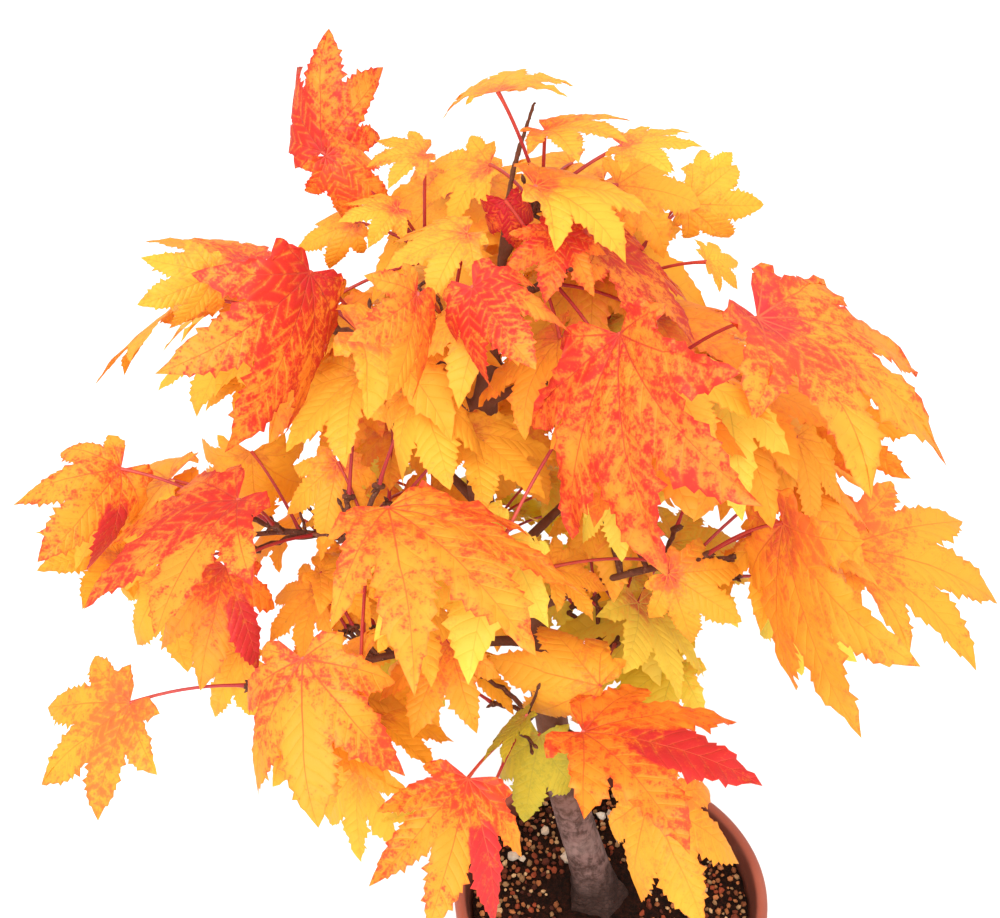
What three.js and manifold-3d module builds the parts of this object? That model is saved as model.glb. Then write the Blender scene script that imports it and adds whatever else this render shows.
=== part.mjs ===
// Maple bonsai in autumn leaf, in a round clay pot. Millimetres, +Z up,
// origin at the centre of the pot's underside, front of the tree towards -Y.
import * as THREE from 'three';
import { mergeVertices } from 'three/addons/utils/BufferGeometryUtils.js';
import Module from 'manifold-3d';

const wasm = await Module();
wasm.setup();

// Pot and soil
const POT_HEIGHT = 100;
const RIM_RADIUS = 75;
const RIM_WIDTH = 5.6;
const RIM_BAND = 15;
const RIM_STEP = 2.4;
const RIM_TAPER = 0.6;
const LIP_ROUND = 2;
const LIP_EASE = 0.6;
const FOOT_RADIUS = 52;
const FOOT_ROUND = 1.5;
const POT_FLOOR = 6;
const POT_WALL = 4.6;
const POT_SIDES = 48;
const GAP = 0.3;
const STEM_GAP = 0.4;
const SOIL_LEVEL = 92;
const SOIL_EDGE_DROP = 2.5;
const SOIL_FLAT_RADIUS = 24;

// Trunk: centre line and radius at each station, from the soil to the cut tip
const TRUNK_STATIONS = [
  { x: -6, y: 2, z: 92.3, radius: 13.2 },
  { x: -7, y: 2, z: 99, radius: 11.4 },
  { x: -10, y: 2, z: 113, radius: 9.9 },
  { x: -17, y: 3, z: 142, radius: 8.9 },
  { x: -25, y: 4, z: 178, radius: 8.1 },
  { x: -33, y: 6, z: 232, radius: 6.9 },
  { x: -40, y: 8, z: 274, radius: 6.1 },
  { x: -52, y: 10, z: 302, radius: 5.6 },
  { x: -61, y: 14, z: 340, radius: 5.0 },
  { x: -59, y: 18, z: 375, radius: 5.1 },
  { x: -54, y: 25, z: 418, radius: 3.4 },
  { x: -50, y: 33, z: 458, radius: 2.2 },
  { x: -47, y: 36, z: 474, radius: 1.7 },
  { x: -41, y: 40, z: 493, radius: 1.3 },
];
const TRUNK_SIDES = 10;
const TRUNK_RINGS = 27;
const FLARE_HEIGHT = 16;
const FLARE_RIDGES = 5;
const FLARE_DEPTH = 0.17;

// Boughs and twigs
const BOUGH_SIDES = 6;
const BOUGH_RINGS = 5;
const BOUGH_ROOT_SHARE = 0.5;
const BOUGH_TIP_RADIUS = 1.7;
const BOUGH_ARCH = 0.12;
const BOUGH_SHARE = 0.68;
const BOUGH_SWELL = 0.3;
const LINE_STEPS = 41;
const STEEP = 0.8;
const STEM_STRIDE = 3;
const STEM_RADIUS = 1.6;
const STEM_TIP_RADIUS = 1.2;
const STEM_SIDES = 4;
const STEM_NODES = [1, 0.7, 0.4];
const TWIG_RADII = [1.1, 1.1, 1];
const TWIG_ARCH = 0.08;
const STALK_RADIUS = 0.8;
const STALK_REACH = 46;
const STALK_LIMIT = 58;
const STALK_ARCH = 0.14;
const STALK_SHAPE = [1.2, 1, 0.85];
const STALK_TURN_LIMIT = 0.955;
const STALK_FREE = 12;

// Leaf blade: seven lobes, each with a bearing from the middle one and a share of its length
const LOBES = [
  { bearing: -118, share: 0.31 },
  { bearing: -76, share: 0.64 },
  { bearing: -38, share: 0.93 },
  { bearing: 0, share: 1 },
  { bearing: 38, share: 0.93 },
  { bearing: 76, share: 0.64 },
  { bearing: 118, share: 0.31 },
];
const WEBS = [0.2, 0.31, 0.4, 0.4, 0.31, 0.2];
const MAIN_LOBE = 0.9;
const SHOULDER_SHARE = 0.64;
const SHOULDER_WIDTH = 0.185;
const LEAF_THICKNESS = 0.012;
const LEAF_HEART = 0.1;
const LEAF_ROLL = [-0.2, 0.2];
const LEAF_BOW = [0.04, 0.1];
const LEAF_CUP = [0.35, 0.95];
const LEAF_TWIST = [-0.1, 0.1];
const LEAF_WAVE = [-0.08, 0.08];
const SEAM = 0.02;
const WELD = 1e-4;
const LEAF_CLEARANCE = 0.35;

// The photo's eye: where it stands, how far it looks down, and its lens in pixels
const EYE = new THREE.Vector3(-53, -459, 748);
const EYE_TILT = THREE.MathUtils.degToRad(39.7);
const EYE_FOCAL = 1600;
const EYE_CENTRE = [500, 459];
const EYE_PULL = 0.38;
// Gaps that the photo shows open: over the soil, under the right side, beside the low leaf and
// under it, above both shoulders and the apex, under the left shoulder, and holes in the crown
const OPEN_WINDOWS = [
  { left: 512, right: 770, top: 768, bottom: 930 },
  { left: 712, right: 810, top: 632, bottom: 760 },
  { left: 60, right: 216, top: 630, bottom: 690 },
  { left: 160, right: 255, top: 722, bottom: 930 },
  { left: 735, right: 1000, top: 0, bottom: 262 },
  { left: 0, right: 290, top: 0, bottom: 226 },
  { left: 0, right: 200, top: 390, bottom: 450 },
  { left: 285, right: 355, top: 560, bottom: 640 },
  { left: 575, right: 650, top: 562, bottom: 598 },
  { left: 700, right: 765, top: 476, bottom: 518 },
  { left: 425, right: 492, top: 738, bottom: 776 },
  { left: 560, right: 735, top: 0, bottom: 112 },
  { left: 705, right: 752, top: 270, bottom: 312 },
  { left: 335, right: 392, top: 235, bottom: 280 },
  { left: 236, right: 300, top: 392, bottom: 432 },
  { left: 362, right: 396, top: 448, bottom: 500 },
];
const WINDOW_PROBES = [0.55, 1];
const VIEW_SHARE = 0.45;
const VIEW_SIZE = 1;

// Crown: no seeded leaf reaches out of this ellipsoid
const CROWN_CENTRE = new THREE.Vector3(-55, 35, 322);
const CROWN_RADII = new THREE.Vector3(185, 165, 180);

// Seeded leaves: blade and stalk lengths, then angles in radians, as ranges to draw from
const SEEDED_BLADE = [40, 66];
const SEEDED_STALK = [22, 56];
const SEEDED_DROOP = [0.14, 0.87];
const SEEDED_SPREAD = [-1.5, 1.5];
const SEEDED_SWING = [-0.6, 0.6];
const FRONT_SWING = [-1.8, 1.8];
const SEEDED_CLIMB = [-0.7, 0.9];
const SEEDED_TRIES = 240;
const SPRAY_SEEDS = 100000;
const FILL_SEEDS = 50000;
const LEAF_SEEDS = 1000;
// Leading leaves: tilts (mm that the tip lies behind the joint), turns, cups and fans (spread of
// the lobes) to choose from as first, last and count, and what it costs, in square pixels, to hang
// or face oddly
const LEAD_TILTS = [-80, 40, 31];
const LEAD_TURNS = [-1.4, 1.4, 29];
const LEAD_CUPS = [0.2, 1.4, 9];
const LEAD_FANS = [0.75, 1.15, 5];
const LEAD_BOW = 0.06;
const OUTER_WEIGHT = 0.4;
const USUAL_DROP = -0.45;
const USUAL_CUP = 0.6;
const DROP_COST = 300;
const FACE_COST = 200;
const CUP_COST = 60;
const LEAD_SHIFTS = [0, -6, 6, -12, 12, -18, 18, -24, 24, -32, 32, -40, 40];

// Colours, by tint
const TINTS = {
  lemon: 0xf9cf3a,
  gold: 0xf9b52c,
  amber: 0xf79d25,
  orange: 0xf58024,
  vermilion: 0xe8541f,
  lime: 0xd3c436,
};
const BARK_COLOUR = 0x75624f;
const POT_COLOUR = 0xa9543c;
const SOIL_COLOUR = 0x4a3527;
const BARK_ROUGHNESS = 0.85;
const POT_ROUGHNESS = 0.6;
const SOIL_ROUGHNESS = 0.95;
const LEAF_ROUGHNESS = 0.6;

// Sprays: height on the trunk where the bough forks off, heart where the stem ends, number of
// seeded leaves, and the leaves that lead it, as the photo shows them (pixels): the joint, the
// middle lobe's tip and the tips of the lobes next to it, clockwise and anticlockwise, how far
// the joint lies behind the pot's middle (mm), and for large leaves the tips one lobe further out.
const SPRAYS = [
  {
    name: 'apex', fork: 436, heart: [-38, 26, 462], seed: 11, fill: 4, tint: 'amber',
    leads: [
      { joint: [498, 92], tip: [518, 70], cw: [562, 82], ccw: [452, 100], behind: 30 },
      { joint: [545, 131], tip: [628, 139], cw: [589, 154], ccw: [643, 126], behind: 22 },
      { joint: [622, 146], tip: [703, 147], cw: [668, 168], ccw: [690, 128], behind: 38 },
      { joint: [617, 185], tip: [703, 205], cw: [672, 243], ccw: [655, 150], behind: 46 },
      { joint: [490, 165], tip: [420, 205], cw: [438, 160], ccw: [452, 222], behind: 62 },
    ],
  },
  {
    name: 'crown_front', fork: 416, heart: [-34, 8, 440], seed: 12, fill: 3, tint: 'vermilion',
    leads: [
      { joint: [560, 232], tip: [545, 303], cw: [510, 271], ccw: [606, 296], behind: -4 },
      { joint: [505, 200], tip: [518, 250], cw: [490, 228], ccw: [535, 215], behind: -2 },
      { joint: [598, 240], tip: [700, 345], cw: [642, 320], ccw: [692, 283], behind: 6 },
    ],
  },
  {
    name: 'right_top_back', fork: 384, heart: [-8, 62, 402], seed: 13, fill: 4, tint: 'lemon',
    leads: [
      { joint: [686, 204], tip: [765, 205], cw: [733, 235], ccw: [735, 165], behind: 80 },
      { joint: [700, 185], tip: [733, 151], cw: [738, 178], ccw: [703, 150], behind: 98 },
      { joint: [706, 262], tip: [738, 262], cw: [735, 287], ccw: [712, 240], behind: 40 },
      { joint: [512, 430], tip: [548, 505], cw: [500, 500], ccw: [562, 460], behind: 44 },
    ],
  },
  {
    name: 'left_top', fork: 394, heart: [-84, 56, 426], seed: 14, fill: 3, tint: 'amber',
    leads: [
      { joint: [322, 152], tip: [328, 28], cw: [385, 70], ccw: [300, 62], behind: 74 },
      { joint: [326, 156], tip: [393, 208], cw: [352, 201], ccw: [363, 172], behind: 66 },
      { joint: [425, 154], tip: [366, 166], cw: [378, 143], ccw: [393, 186], behind: 56 },
      { joint: [356, 222], tip: [297, 250], cw: [312, 230], ccw: [344, 265], behind: 62 },
      { joint: [397, 209], tip: [338, 222], cw: [350, 205], ccw: [388, 262], behind: 48 },
    ],
  },
  {
    name: 'left_upper', fork: 372, heart: [-100, 12, 412], seed: 15, fill: 4, tint: 'orange',
    leads: [
      {
        joint: [310, 272], tip: [230, 455], cw: [153, 385], ccw: [262, 420], behind: -6,
        outerCcw: [346, 376],
      },
      { joint: [255, 262], tip: [145, 241], cw: [200, 228], ccw: [160, 262], behind: 34 },
      { joint: [190, 298], tip: [94, 385], cw: [115, 345], ccw: [128, 350], behind: 22 },
      { joint: [215, 275], tip: [137, 305], cw: [142, 256], ccw: [165, 330], behind: 12 },
    ],
  },
  {
    name: 'front_left_upper', fork: 404, heart: [-72, -2, 428], seed: 16, fill: 4, tint: 'orange',
    leads: [
      { joint: [473, 287], tip: [536, 370], cw: [497, 396], ccw: [563, 332], behind: -28 },
      { joint: [417, 294], tip: [388, 401], cw: [350, 345], ccw: [411, 406], behind: -34 },
      { joint: [467, 233], tip: [385, 268], cw: [395, 240], ccw: [438, 300], behind: 0 },
    ],
  },
  {
    name: 'right_upper', fork: 392, heart: [8, 2, 408], seed: 17, fill: 5, tint: 'orange',
    leads: [
      {
        joint: [757, 318], tip: [952, 462], cw: [877, 478], ccw: [925, 350], behind: -14,
        outerCcw: [826, 278],
      },
      { joint: [796, 437], tip: [812, 528], cw: [766, 497], ccw: [842, 503], behind: 14 },
      { joint: [826, 404], tip: [912, 478], cw: [862, 480], ccw: [930, 430], behind: 34 },
    ],
  },
  {
    name: 'front_centre', fork: 378, heart: [-28, -22, 420], seed: 18, fill: 4, tint: 'vermilion',
    leads: [
      {
        joint: [620, 334], tip: [665, 578], cw: [592, 525], ccw: [759, 507], behind: -46,
        outerCw: [507, 440], outerCcw: [722, 360],
      },
      { joint: [612, 474], tip: [622, 562], cw: [585, 545], ccw: [650, 535], behind: -4 },
      { joint: [668, 573], tip: [742, 622], cw: [699, 642], ccw: [738, 556], behind: -16 },
    ],
  },
  {
    name: 'left_mid', fork: 292, heart: [-142, 14, 318], seed: 19, fill: 4, tint: 'vermilion',
    leads: [
      {
        joint: [238, 500], tip: [83, 608], cw: [102, 548], ccw: [160, 645], behind: -22,
        outerCcw: [239, 581],
      },
      { joint: [121, 469], tip: [38, 562], cw: [2, 512], ccw: [87, 568], behind: 18 },
      { joint: [120, 555], tip: [37, 570], cw: [50, 540], ccw: [103, 617], behind: 38 },
      { joint: [252, 452], tip: [258, 535], cw: [199, 476], ccw: [303, 488], behind: 52 },
      {
        joint: [225, 566], tip: [200, 691], cw: [160, 650], ccw: [252, 664], behind: 2,
        outerCcw: [290, 608],
      },
      { joint: [165, 572], tip: [188, 672], cw: [133, 640], ccw: [230, 635], behind: 26 },
    ],
  },
  {
    name: 'centre_left', fork: 312, heart: [-112, -22, 346], seed: 20, fill: 5, tint: 'orange',
    leads: [
      {
        joint: [388, 508], tip: [537, 650], cw: [404, 668], ccw: [598, 621], behind: -58,
        outerCw: [371, 627], outerCcw: [524, 517],
      },
      { joint: [360, 374], tip: [286, 452], cw: [282, 411], ccw: [345, 470], behind: 8 },
      { joint: [420, 385], tip: [450, 490], cw: [405, 470], ccw: [495, 480], behind: -12 },
      { joint: [450, 642], tip: [412, 738], cw: [385, 700], ccw: [482, 735], behind: -34 },
      { joint: [470, 432], tip: [545, 500], cw: [490, 505], ccw: [565, 455], behind: -14 },
      { joint: [338, 462], tip: [322, 545], cw: [288, 512], ccw: [366, 530], behind: 2 },
    ],
  },
  {
    name: 'lower_left', fork: 262, heart: [-128, -32, 282], seed: 21, fill: 4, tint: 'orange',
    leads: [
      {
        joint: [130, 703], tip: [42, 785], cw: [38, 707], ccw: [100, 825], behind: -44,
        outerCw: [98, 657], outerCcw: [170, 767],
      },
      {
        joint: [303, 659], tip: [318, 828], cw: [270, 792], ccw: [400, 775], behind: -72,
        outerCw: [228, 711], outerCcw: [398, 690],
      },
      { joint: [361, 763], tip: [360, 863], cw: [326, 815], ccw: [400, 850], behind: -40 },
      { joint: [241, 650], tip: [213, 718], cw: [212, 672], ccw: [262, 712], behind: -18 },
      { joint: [372, 716], tip: [455, 741], cw: [432, 772], ccw: [430, 702], behind: -30 },
    ],
  },
  {
    name: 'low_front', fork: 222, heart: [-46, -42, 262], seed: 22, fill: 4, tint: 'vermilion',
    leads: [
      {
        joint: [468, 778], tip: [428, 934], cw: [362, 888], ccw: [490, 926], behind: -76,
        outerCw: [360, 818], outerCcw: [525, 852],
      },
      { joint: [527, 716], tip: [482, 762], cw: [490, 735], ccw: [500, 758], behind: -50 },
      { joint: [540, 735], tip: [524, 822], cw: [515, 770], ccw: [562, 780], behind: -32 },
    ],
  },
  {
    name: 'low_right_front', fork: 206, heart: [-18, -40, 250], seed: 23, fill: 4, tint: 'orange',
    leads: [
      {
        joint: [583, 732], tip: [763, 785], cw: [682, 846], ccw: [732, 730], behind: -62,
        outerCw: [605, 831], outerCcw: [660, 670],
      },
      { joint: [650, 795], tip: [703, 925], cw: [637, 897], ccw: [742, 868], behind: -34 },
    ],
  },
  {
    name: 'right_mid', fork: 278, heart: [22, -4, 318], seed: 24, fill: 6, tint: 'orange',
    leads: [
      {
        joint: [783, 523], tip: [863, 738], cw: [816, 678], ccw: [903, 668], behind: -30,
        outerCw: [722, 615],
      },
      {
        joint: [842, 547], tip: [1003, 600], cw: [984, 658], ccw: [970, 522], behind: 8,
        outerCw: [915, 650], outerCcw: [878, 478],
      },
      { joint: [800, 590], tip: [800, 677], cw: [770, 648], ccw: [875, 675], behind: 34 },
      { joint: [548, 568], tip: [608, 590], cw: [595, 622], ccw: [590, 552], behind: -20 },
    ],
  },
  {
    name: 'inner_right', fork: 236, heart: [2, 22, 256], seed: 25, fill: 6, tint: 'lime',
    leads: [
      { joint: [672, 542], tip: [738, 540], cw: [742, 590], ccw: [702, 512], behind: 26 },
      { joint: [638, 603], tip: [680, 700], cw: [625, 680], ccw: [706, 682], behind: 10 },
      { joint: [600, 686], tip: [488, 658], cw: [545, 630], ccw: [522, 706], behind: -36 },
    ],
  },
  { name: 'back_left', fork: 328, heart: [-128, 92, 338], seed: 26, fill: 9, tint: 'lemon', leads: [] },
  { name: 'back_centre', fork: 346, heart: [-52, 112, 352], seed: 27, fill: 10, tint: 'gold', leads: [] },
  { name: 'back_right', fork: 302, heart: [24, 98, 306], seed: 28, fill: 9, tint: 'gold', leads: [] },
  { name: 'back_low', fork: 248, heart: [-62, 96, 246], seed: 29, fill: 9, tint: 'lime', leads: [] },
];

const UP = new THREE.Vector3(0, 0, 1);
const [OUTER_CCW, NEXT_CCW, , NEXT_CW, OUTER_CW] = LOBES.slice(1, 6);

// A repeatable stream of numbers between 0 and 1
function seeded(seed) {
  let state = seed >>> 0;
  return () => {
    state = (state + 0x6d2b79f5) >>> 0;
    let mixed = Math.imul(state ^ (state >>> 15), 1 | state);
    mixed = (mixed + Math.imul(mixed ^ (mixed >>> 7), 61 | mixed)) ^ mixed;
    return ((mixed ^ (mixed >>> 14)) >>> 0) / 4294967296;
  };
}

function between(random, [low, high]) {
  return low + (high - low) * random();
}

// The point that shows at a pixel of the photo, on the plane a given way behind the trunk
function sight([column, row], behind) {
  const right = column - EYE_CENTRE[0];
  const rise = EYE_CENTRE[1] - row;
  const ray = new THREE.Vector3(
    right,
    EYE_FOCAL * Math.cos(EYE_TILT) + rise * Math.sin(EYE_TILT),
    rise * Math.cos(EYE_TILT) - EYE_FOCAL * Math.sin(EYE_TILT),
  );
  return EYE.clone().addScaledVector(ray, (behind - EYE.y) / ray.y);
}

function pixelOf(point) {
  const offset = point.clone().sub(EYE);
  const depth = offset.y * Math.cos(EYE_TILT) - offset.z * Math.sin(EYE_TILT);
  const rise = offset.y * Math.sin(EYE_TILT) + offset.z * Math.cos(EYE_TILT);
  return [
    EYE_CENTRE[0] + (EYE_FOCAL * offset.x) / depth,
    EYE_CENTRE[1] - (EYE_FOCAL * rise) / depth,
  ];
}

function solidOf(points, triangles) {
  const vertProperties = new Float32Array(points.flatMap((p) => [p.x, p.y, p.z]));
  const triVerts = new Uint32Array(triangles.flat());
  return new wasm.Manifold(new wasm.Mesh({ numProp: 3, vertProperties, triVerts }));
}

function solidOfGeometry(geometry) {
  geometry.deleteAttribute('normal');
  geometry.deleteAttribute('uv');
  const merged = mergeVertices(geometry, WELD);
  const mesh = new wasm.Mesh({
    numProp: 3,
    vertProperties: new Float32Array(merged.attributes.position.array),
    triVerts: new Uint32Array(merged.index.array),
  });
  return new wasm.Manifold(mesh);
}

// A limb round a centre line, one ring of corners at each point, closed by flat ends
function limb(line, radii, sides, ridge = () => 1) {
  const points = [];
  const triangles = [];
  const last = line.length - 1;
  let normal = null;
  line.forEach((centre, ring) => {
    const ahead = line[Math.min(ring + 1, last)];
    const astern = line[Math.max(ring - 1, 0)];
    const tangent = ahead.clone().sub(astern).normalize();
    if (!normal) {
      normal = Math.abs(tangent.z) > STEEP ? new THREE.Vector3(1, 0, 0) : UP.clone();
    }
    normal.addScaledVector(tangent, -normal.dot(tangent)).normalize();
    const side = tangent.clone().cross(normal);
    for (let corner = 0; corner < sides; corner += 1) {
      const turn = (2 * Math.PI * corner) / sides;
      const radius = radii[ring] * ridge(turn, centre);
      points.push(
        centre
          .clone()
          .addScaledVector(normal, radius * Math.cos(turn))
          .addScaledVector(side, radius * Math.sin(turn)),
      );
    }
  });
  for (let ring = 0; ring < last; ring += 1) {
    for (let corner = 0; corner < sides; corner += 1) {
      const a = ring * sides + corner;
      const b = ring * sides + ((corner + 1) % sides);
      triangles.push([a, b, b + sides], [a, b + sides, a + sides]);
    }
  }
  const end = last * sides;
  for (let corner = 1; corner < sides - 1; corner += 1) {
    triangles.push([0, corner + 1, corner], [end, end + corner, end + corner + 1]);
  }
  return solidOf(points, triangles);
}

function bezier(from, control, to, share) {
  const rest = 1 - share;
  return from
    .clone()
    .multiplyScalar(rest * rest)
    .addScaledVector(control, 2 * rest * share)
    .addScaledVector(to, share * share);
}

function arc(from, to, arch, count) {
  const control = from.clone().add(to).multiplyScalar(0.5);
  control.z += arch * from.distanceTo(to);
  return Array.from({ length: count }, (_, i) => bezier(from, control, to, i / (count - 1)));
}

function largestPiece(solid) {
  return solid.decompose().reduce((best, piece) => (piece.volume() > best.volume() ? piece : best));
}

// Trunk centre line at a height, with its radius there
function trunkAt(height) {
  const top = TRUNK_STATIONS.length - 1;
  let index = TRUNK_STATIONS.findIndex((station) => station.z > height) - 1;
  if (index < 0) {
    index = height < TRUNK_STATIONS[0].z ? 0 : top - 1;
  }
  const lower = TRUNK_STATIONS[index];
  const upper = TRUNK_STATIONS[index + 1];
  const share = THREE.MathUtils.clamp((height - lower.z) / (upper.z - lower.z), 0, 1);
  const mix = (key) => lower[key] + (upper[key] - lower[key]) * share;
  return { centre: new THREE.Vector3(mix('x'), mix('y'), mix('z')), radius: mix('radius') };
}

function trunkSolid(grow) {
  const curve = new THREE.CatmullRomCurve3(
    TRUNK_STATIONS.map((station) => new THREE.Vector3(station.x, station.y, station.z)),
  );
  const line = curve.getPoints(TRUNK_RINGS - 1);
  const foot = TRUNK_STATIONS[0].z;
  line.forEach((centre) => {
    centre.z = Math.max(centre.z, foot);
  });
  const radii = line.map((centre) => trunkAt(centre.z).radius + grow);
  const ridge = (turn, centre) => {
    const fade = Math.max(0, 1 - (centre.z - foot) / FLARE_HEIGHT);
    return 1 + FLARE_DEPTH * fade * Math.cos(FLARE_RIDGES * turn);
  };
  const whole = limb(line, radii, TRUNK_SIDES, ridge);
  return whole.trimByPlane([0, 0, 1], foot);
}

function latheSolid(profile) {
  const points = profile.map(([radius, height]) => new THREE.Vector2(radius, height));
  return solidOfGeometry(new THREE.LatheGeometry(points, POT_SIDES).rotateX(Math.PI / 2));
}

// Inner wall radius of the pot at a height
function wallRadius(height) {
  const top = RIM_RADIUS - RIM_WIDTH;
  const bottom = FOOT_RADIUS - POT_WALL;
  return bottom + ((top - bottom) * (height - POT_FLOOR)) / (POT_HEIGHT - POT_FLOOR);
}

function potSolid() {
  const bandFoot = POT_HEIGHT - RIM_BAND;
  const bandRadius = RIM_RADIUS - RIM_TAPER;
  const inner = RIM_RADIUS - RIM_WIDTH;
  return latheSolid([
    [0, 0],
    [FOOT_RADIUS - FOOT_ROUND, 0],
    [FOOT_RADIUS, FOOT_ROUND],
    [bandRadius - RIM_STEP, bandFoot - RIM_STEP / 2],
    [bandRadius, bandFoot],
    [RIM_RADIUS, POT_HEIGHT - LIP_ROUND],
    [RIM_RADIUS - LIP_EASE, POT_HEIGHT - LIP_EASE],
    [RIM_RADIUS - LIP_ROUND, POT_HEIGHT],
    [inner + LIP_ROUND, POT_HEIGHT],
    [inner + LIP_EASE, POT_HEIGHT - LIP_EASE],
    [inner, POT_HEIGHT - LIP_ROUND],
    [wallRadius(POT_FLOOR), POT_FLOOR],
    [0, POT_FLOOR],
  ]);
}

function soilSolid() {
  const floor = POT_FLOOR + GAP;
  const edge = SOIL_LEVEL - SOIL_EDGE_DROP;
  return latheSolid([
    [0, floor],
    [wallRadius(floor) - 2 * GAP, floor],
    [wallRadius(edge) - 2 * GAP, edge],
    [SOIL_FLAT_RADIUS, SOIL_LEVEL],
    [0, SOIL_LEVEL],
  ]);
}

// A bough from the trunk's heart towards its spray, its foot hollowed to clear the trunk
function boughLine(spray) {
  const root = trunkAt(spray.fork);
  const heart = new THREE.Vector3(...spray.heart);
  const line = arc(root.centre, heart, BOUGH_ARCH, LINE_STEPS);
  return { line, root };
}

function boughSolid(spray, trunkGrown) {
  const { line, root } = boughLine(spray);
  const reach = Math.round((line.length - 1) * BOUGH_SHARE);
  const path = Array.from({ length: BOUGH_RINGS }, (_, i) =>
    line[Math.round((reach * i) / (BOUGH_RINGS - 1))].clone(),
  );
  const rootRadius = Math.max(root.radius * BOUGH_ROOT_SHARE, BOUGH_TIP_RADIUS + BOUGH_SWELL);
  const radii = path.map((_, i) => {
    const share = i / (BOUGH_RINGS - 1);
    return rootRadius + (BOUGH_TIP_RADIUS - rootRadius) * Math.sqrt(share);
  });
  return largestPiece(limb(path, radii, BOUGH_SIDES).subtract(trunkGrown));
}

// Blade surface: a bearing and a reach (share of the blade's length) on a bowed, cupped sheet
function bladePoint(leaf, bearing, reach, lift = 0) {
  const turn = THREE.MathUtils.degToRad(bearing * leaf.fan);
  const along = reach * Math.cos(turn);
  const roll = 2 * leaf.cup * reach * Math.sin(turn);
  const across = Math.sin(roll) / (2 * leaf.cup);
  const rise =
    leaf.bow * 4 * reach * (1 - reach) -
    (1 - Math.cos(roll)) / (2 * leaf.cup) +
    (leaf.twist * Math.sin(turn) + leaf.wave * Math.sin(2 * turn)) * reach * reach +
    lift;
  return leaf.joint
    .clone()
    .addScaledVector(leaf.axis, along * leaf.length)
    .addScaledVector(leaf.side, across * leaf.length)
    .addScaledVector(leaf.normal, rise * leaf.length);
}

// Corners of the blade's edge from the stalk round over the seven lobes and back to it
function bladeOutline(leaf) {
  const outline = [];
  const spread = THREE.MathUtils.radToDeg(Math.atan2(SHOULDER_WIDTH, SHOULDER_SHARE));
  const stride = Math.hypot(SHOULDER_WIDTH, SHOULDER_SHARE);
  LOBES.forEach(({ bearing, share }, i) => {
    if (share > MAIN_LOBE) {
      outline.push(bladePoint(leaf, bearing - spread, stride * share));
    }
    outline.push(bladePoint(leaf, bearing, share));
    if (share > MAIN_LOBE) {
      outline.push(bladePoint(leaf, bearing + spread, stride * share));
    }
    if (i < WEBS.length) {
      outline.push(bladePoint(leaf, (bearing + LOBES[i + 1].bearing) / 2, WEBS[i]));
    }
  });
  return outline;
}

// A leaf: a three-sided stalk that opens into a blade, thick at its heart and sharp at its edge
function leafSolid(leaf) {
  const line = arc(leaf.root, leaf.joint, STALK_ARCH, STALK_SHAPE.length);
  const points = [];
  const triangles = [[0, 2, 1]];
  line.forEach((centre, ring) => {
    const ahead = line[ring + 1] ?? bladePoint(leaf, 0, LEAF_HEART);
    const tangent = ahead.clone().sub(line[Math.max(ring - 1, 0)]).normalize();
    const upright = leaf.normal.clone().addScaledVector(tangent, -leaf.normal.dot(tangent)).normalize();
    const sideways = tangent.clone().cross(upright);
    for (let corner = 0; corner < 3; corner += 1) {
      const turn = (2 * Math.PI * corner) / 3;
      const radius = STALK_RADIUS * STALK_SHAPE[ring];
      points.push(
        centre
          .clone()
          .addScaledVector(upright, radius * Math.cos(turn))
          .addScaledVector(sideways, radius * Math.sin(turn)),
      );
      if (ring > 0) {
        const here = ring * 3 + corner;
        const next = ring * 3 + ((corner + 1) % 3);
        triangles.push([here - 3, next - 3, next], [here - 3, next, here]);
      }
    }
  });
  const [top, right, left] = [3, 2, 1].map((back) => points.length - back);
  const upper = points.push(bladePoint(leaf, 0, LEAF_HEART, LEAF_THICKNESS / 2)) - 1;
  const lower = points.push(bladePoint(leaf, 0, LEAF_HEART, -LEAF_THICKNESS / 2)) - 1;
  const edge = bladeOutline(leaf).map((corner) => points.push(corner) - 1);
  triangles.push([upper, top, right], [upper, left, top], [lower, right, left]);
  [left, ...edge].forEach((corner, i) => {
    const next = edge[i] ?? right;
    triangles.push([upper, next, corner], [lower, corner, next]);
  });
  return solidOf(points, triangles);
}

// A leaf at its joint, its upper face turned about its axis from the way that it would face
function poseLeaf(joint, axis, facing, turn, length, root, random) {
  const normal = facing.clone().addScaledVector(axis, -facing.dot(axis)).normalize();
  normal.applyAxisAngle(axis, turn);
  return {
    joint,
    axis,
    normal,
    side: axis.clone().cross(normal),
    length,
    root,
    fan: 1,
    bow: between(random, LEAF_BOW),
    cup: between(random, LEAF_CUP),
    twist: between(random, LEAF_TWIST),
    wave: between(random, LEAF_WAVE),
  };
}

function evenly([first, last, count]) {
  return Array.from({ length: count }, (_, i) => first + ((last - first) * i) / (count - 1));
}

// Leaves face between the sky and the photo's eye
function facingAt(joint) {
  return UP.clone().lerp(EYE.clone().sub(joint).normalize(), EYE_PULL).normalize();
}

function leadAxis(lead, tilt, shift) {
  const joint = sight(lead.joint, lead.behind + shift);
  const reach = sight(lead.tip, lead.behind + tilt + shift).sub(joint);
  return { joint, length: reach.length(), axis: reach.normalize() };
}

function pixelMiss(leaf, { bearing, share }, [column, row]) {
  const [across, down] = pixelOf(bladePoint(leaf, bearing, share));
  return (across - column) ** 2 + (down - row) ** 2;
}

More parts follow.
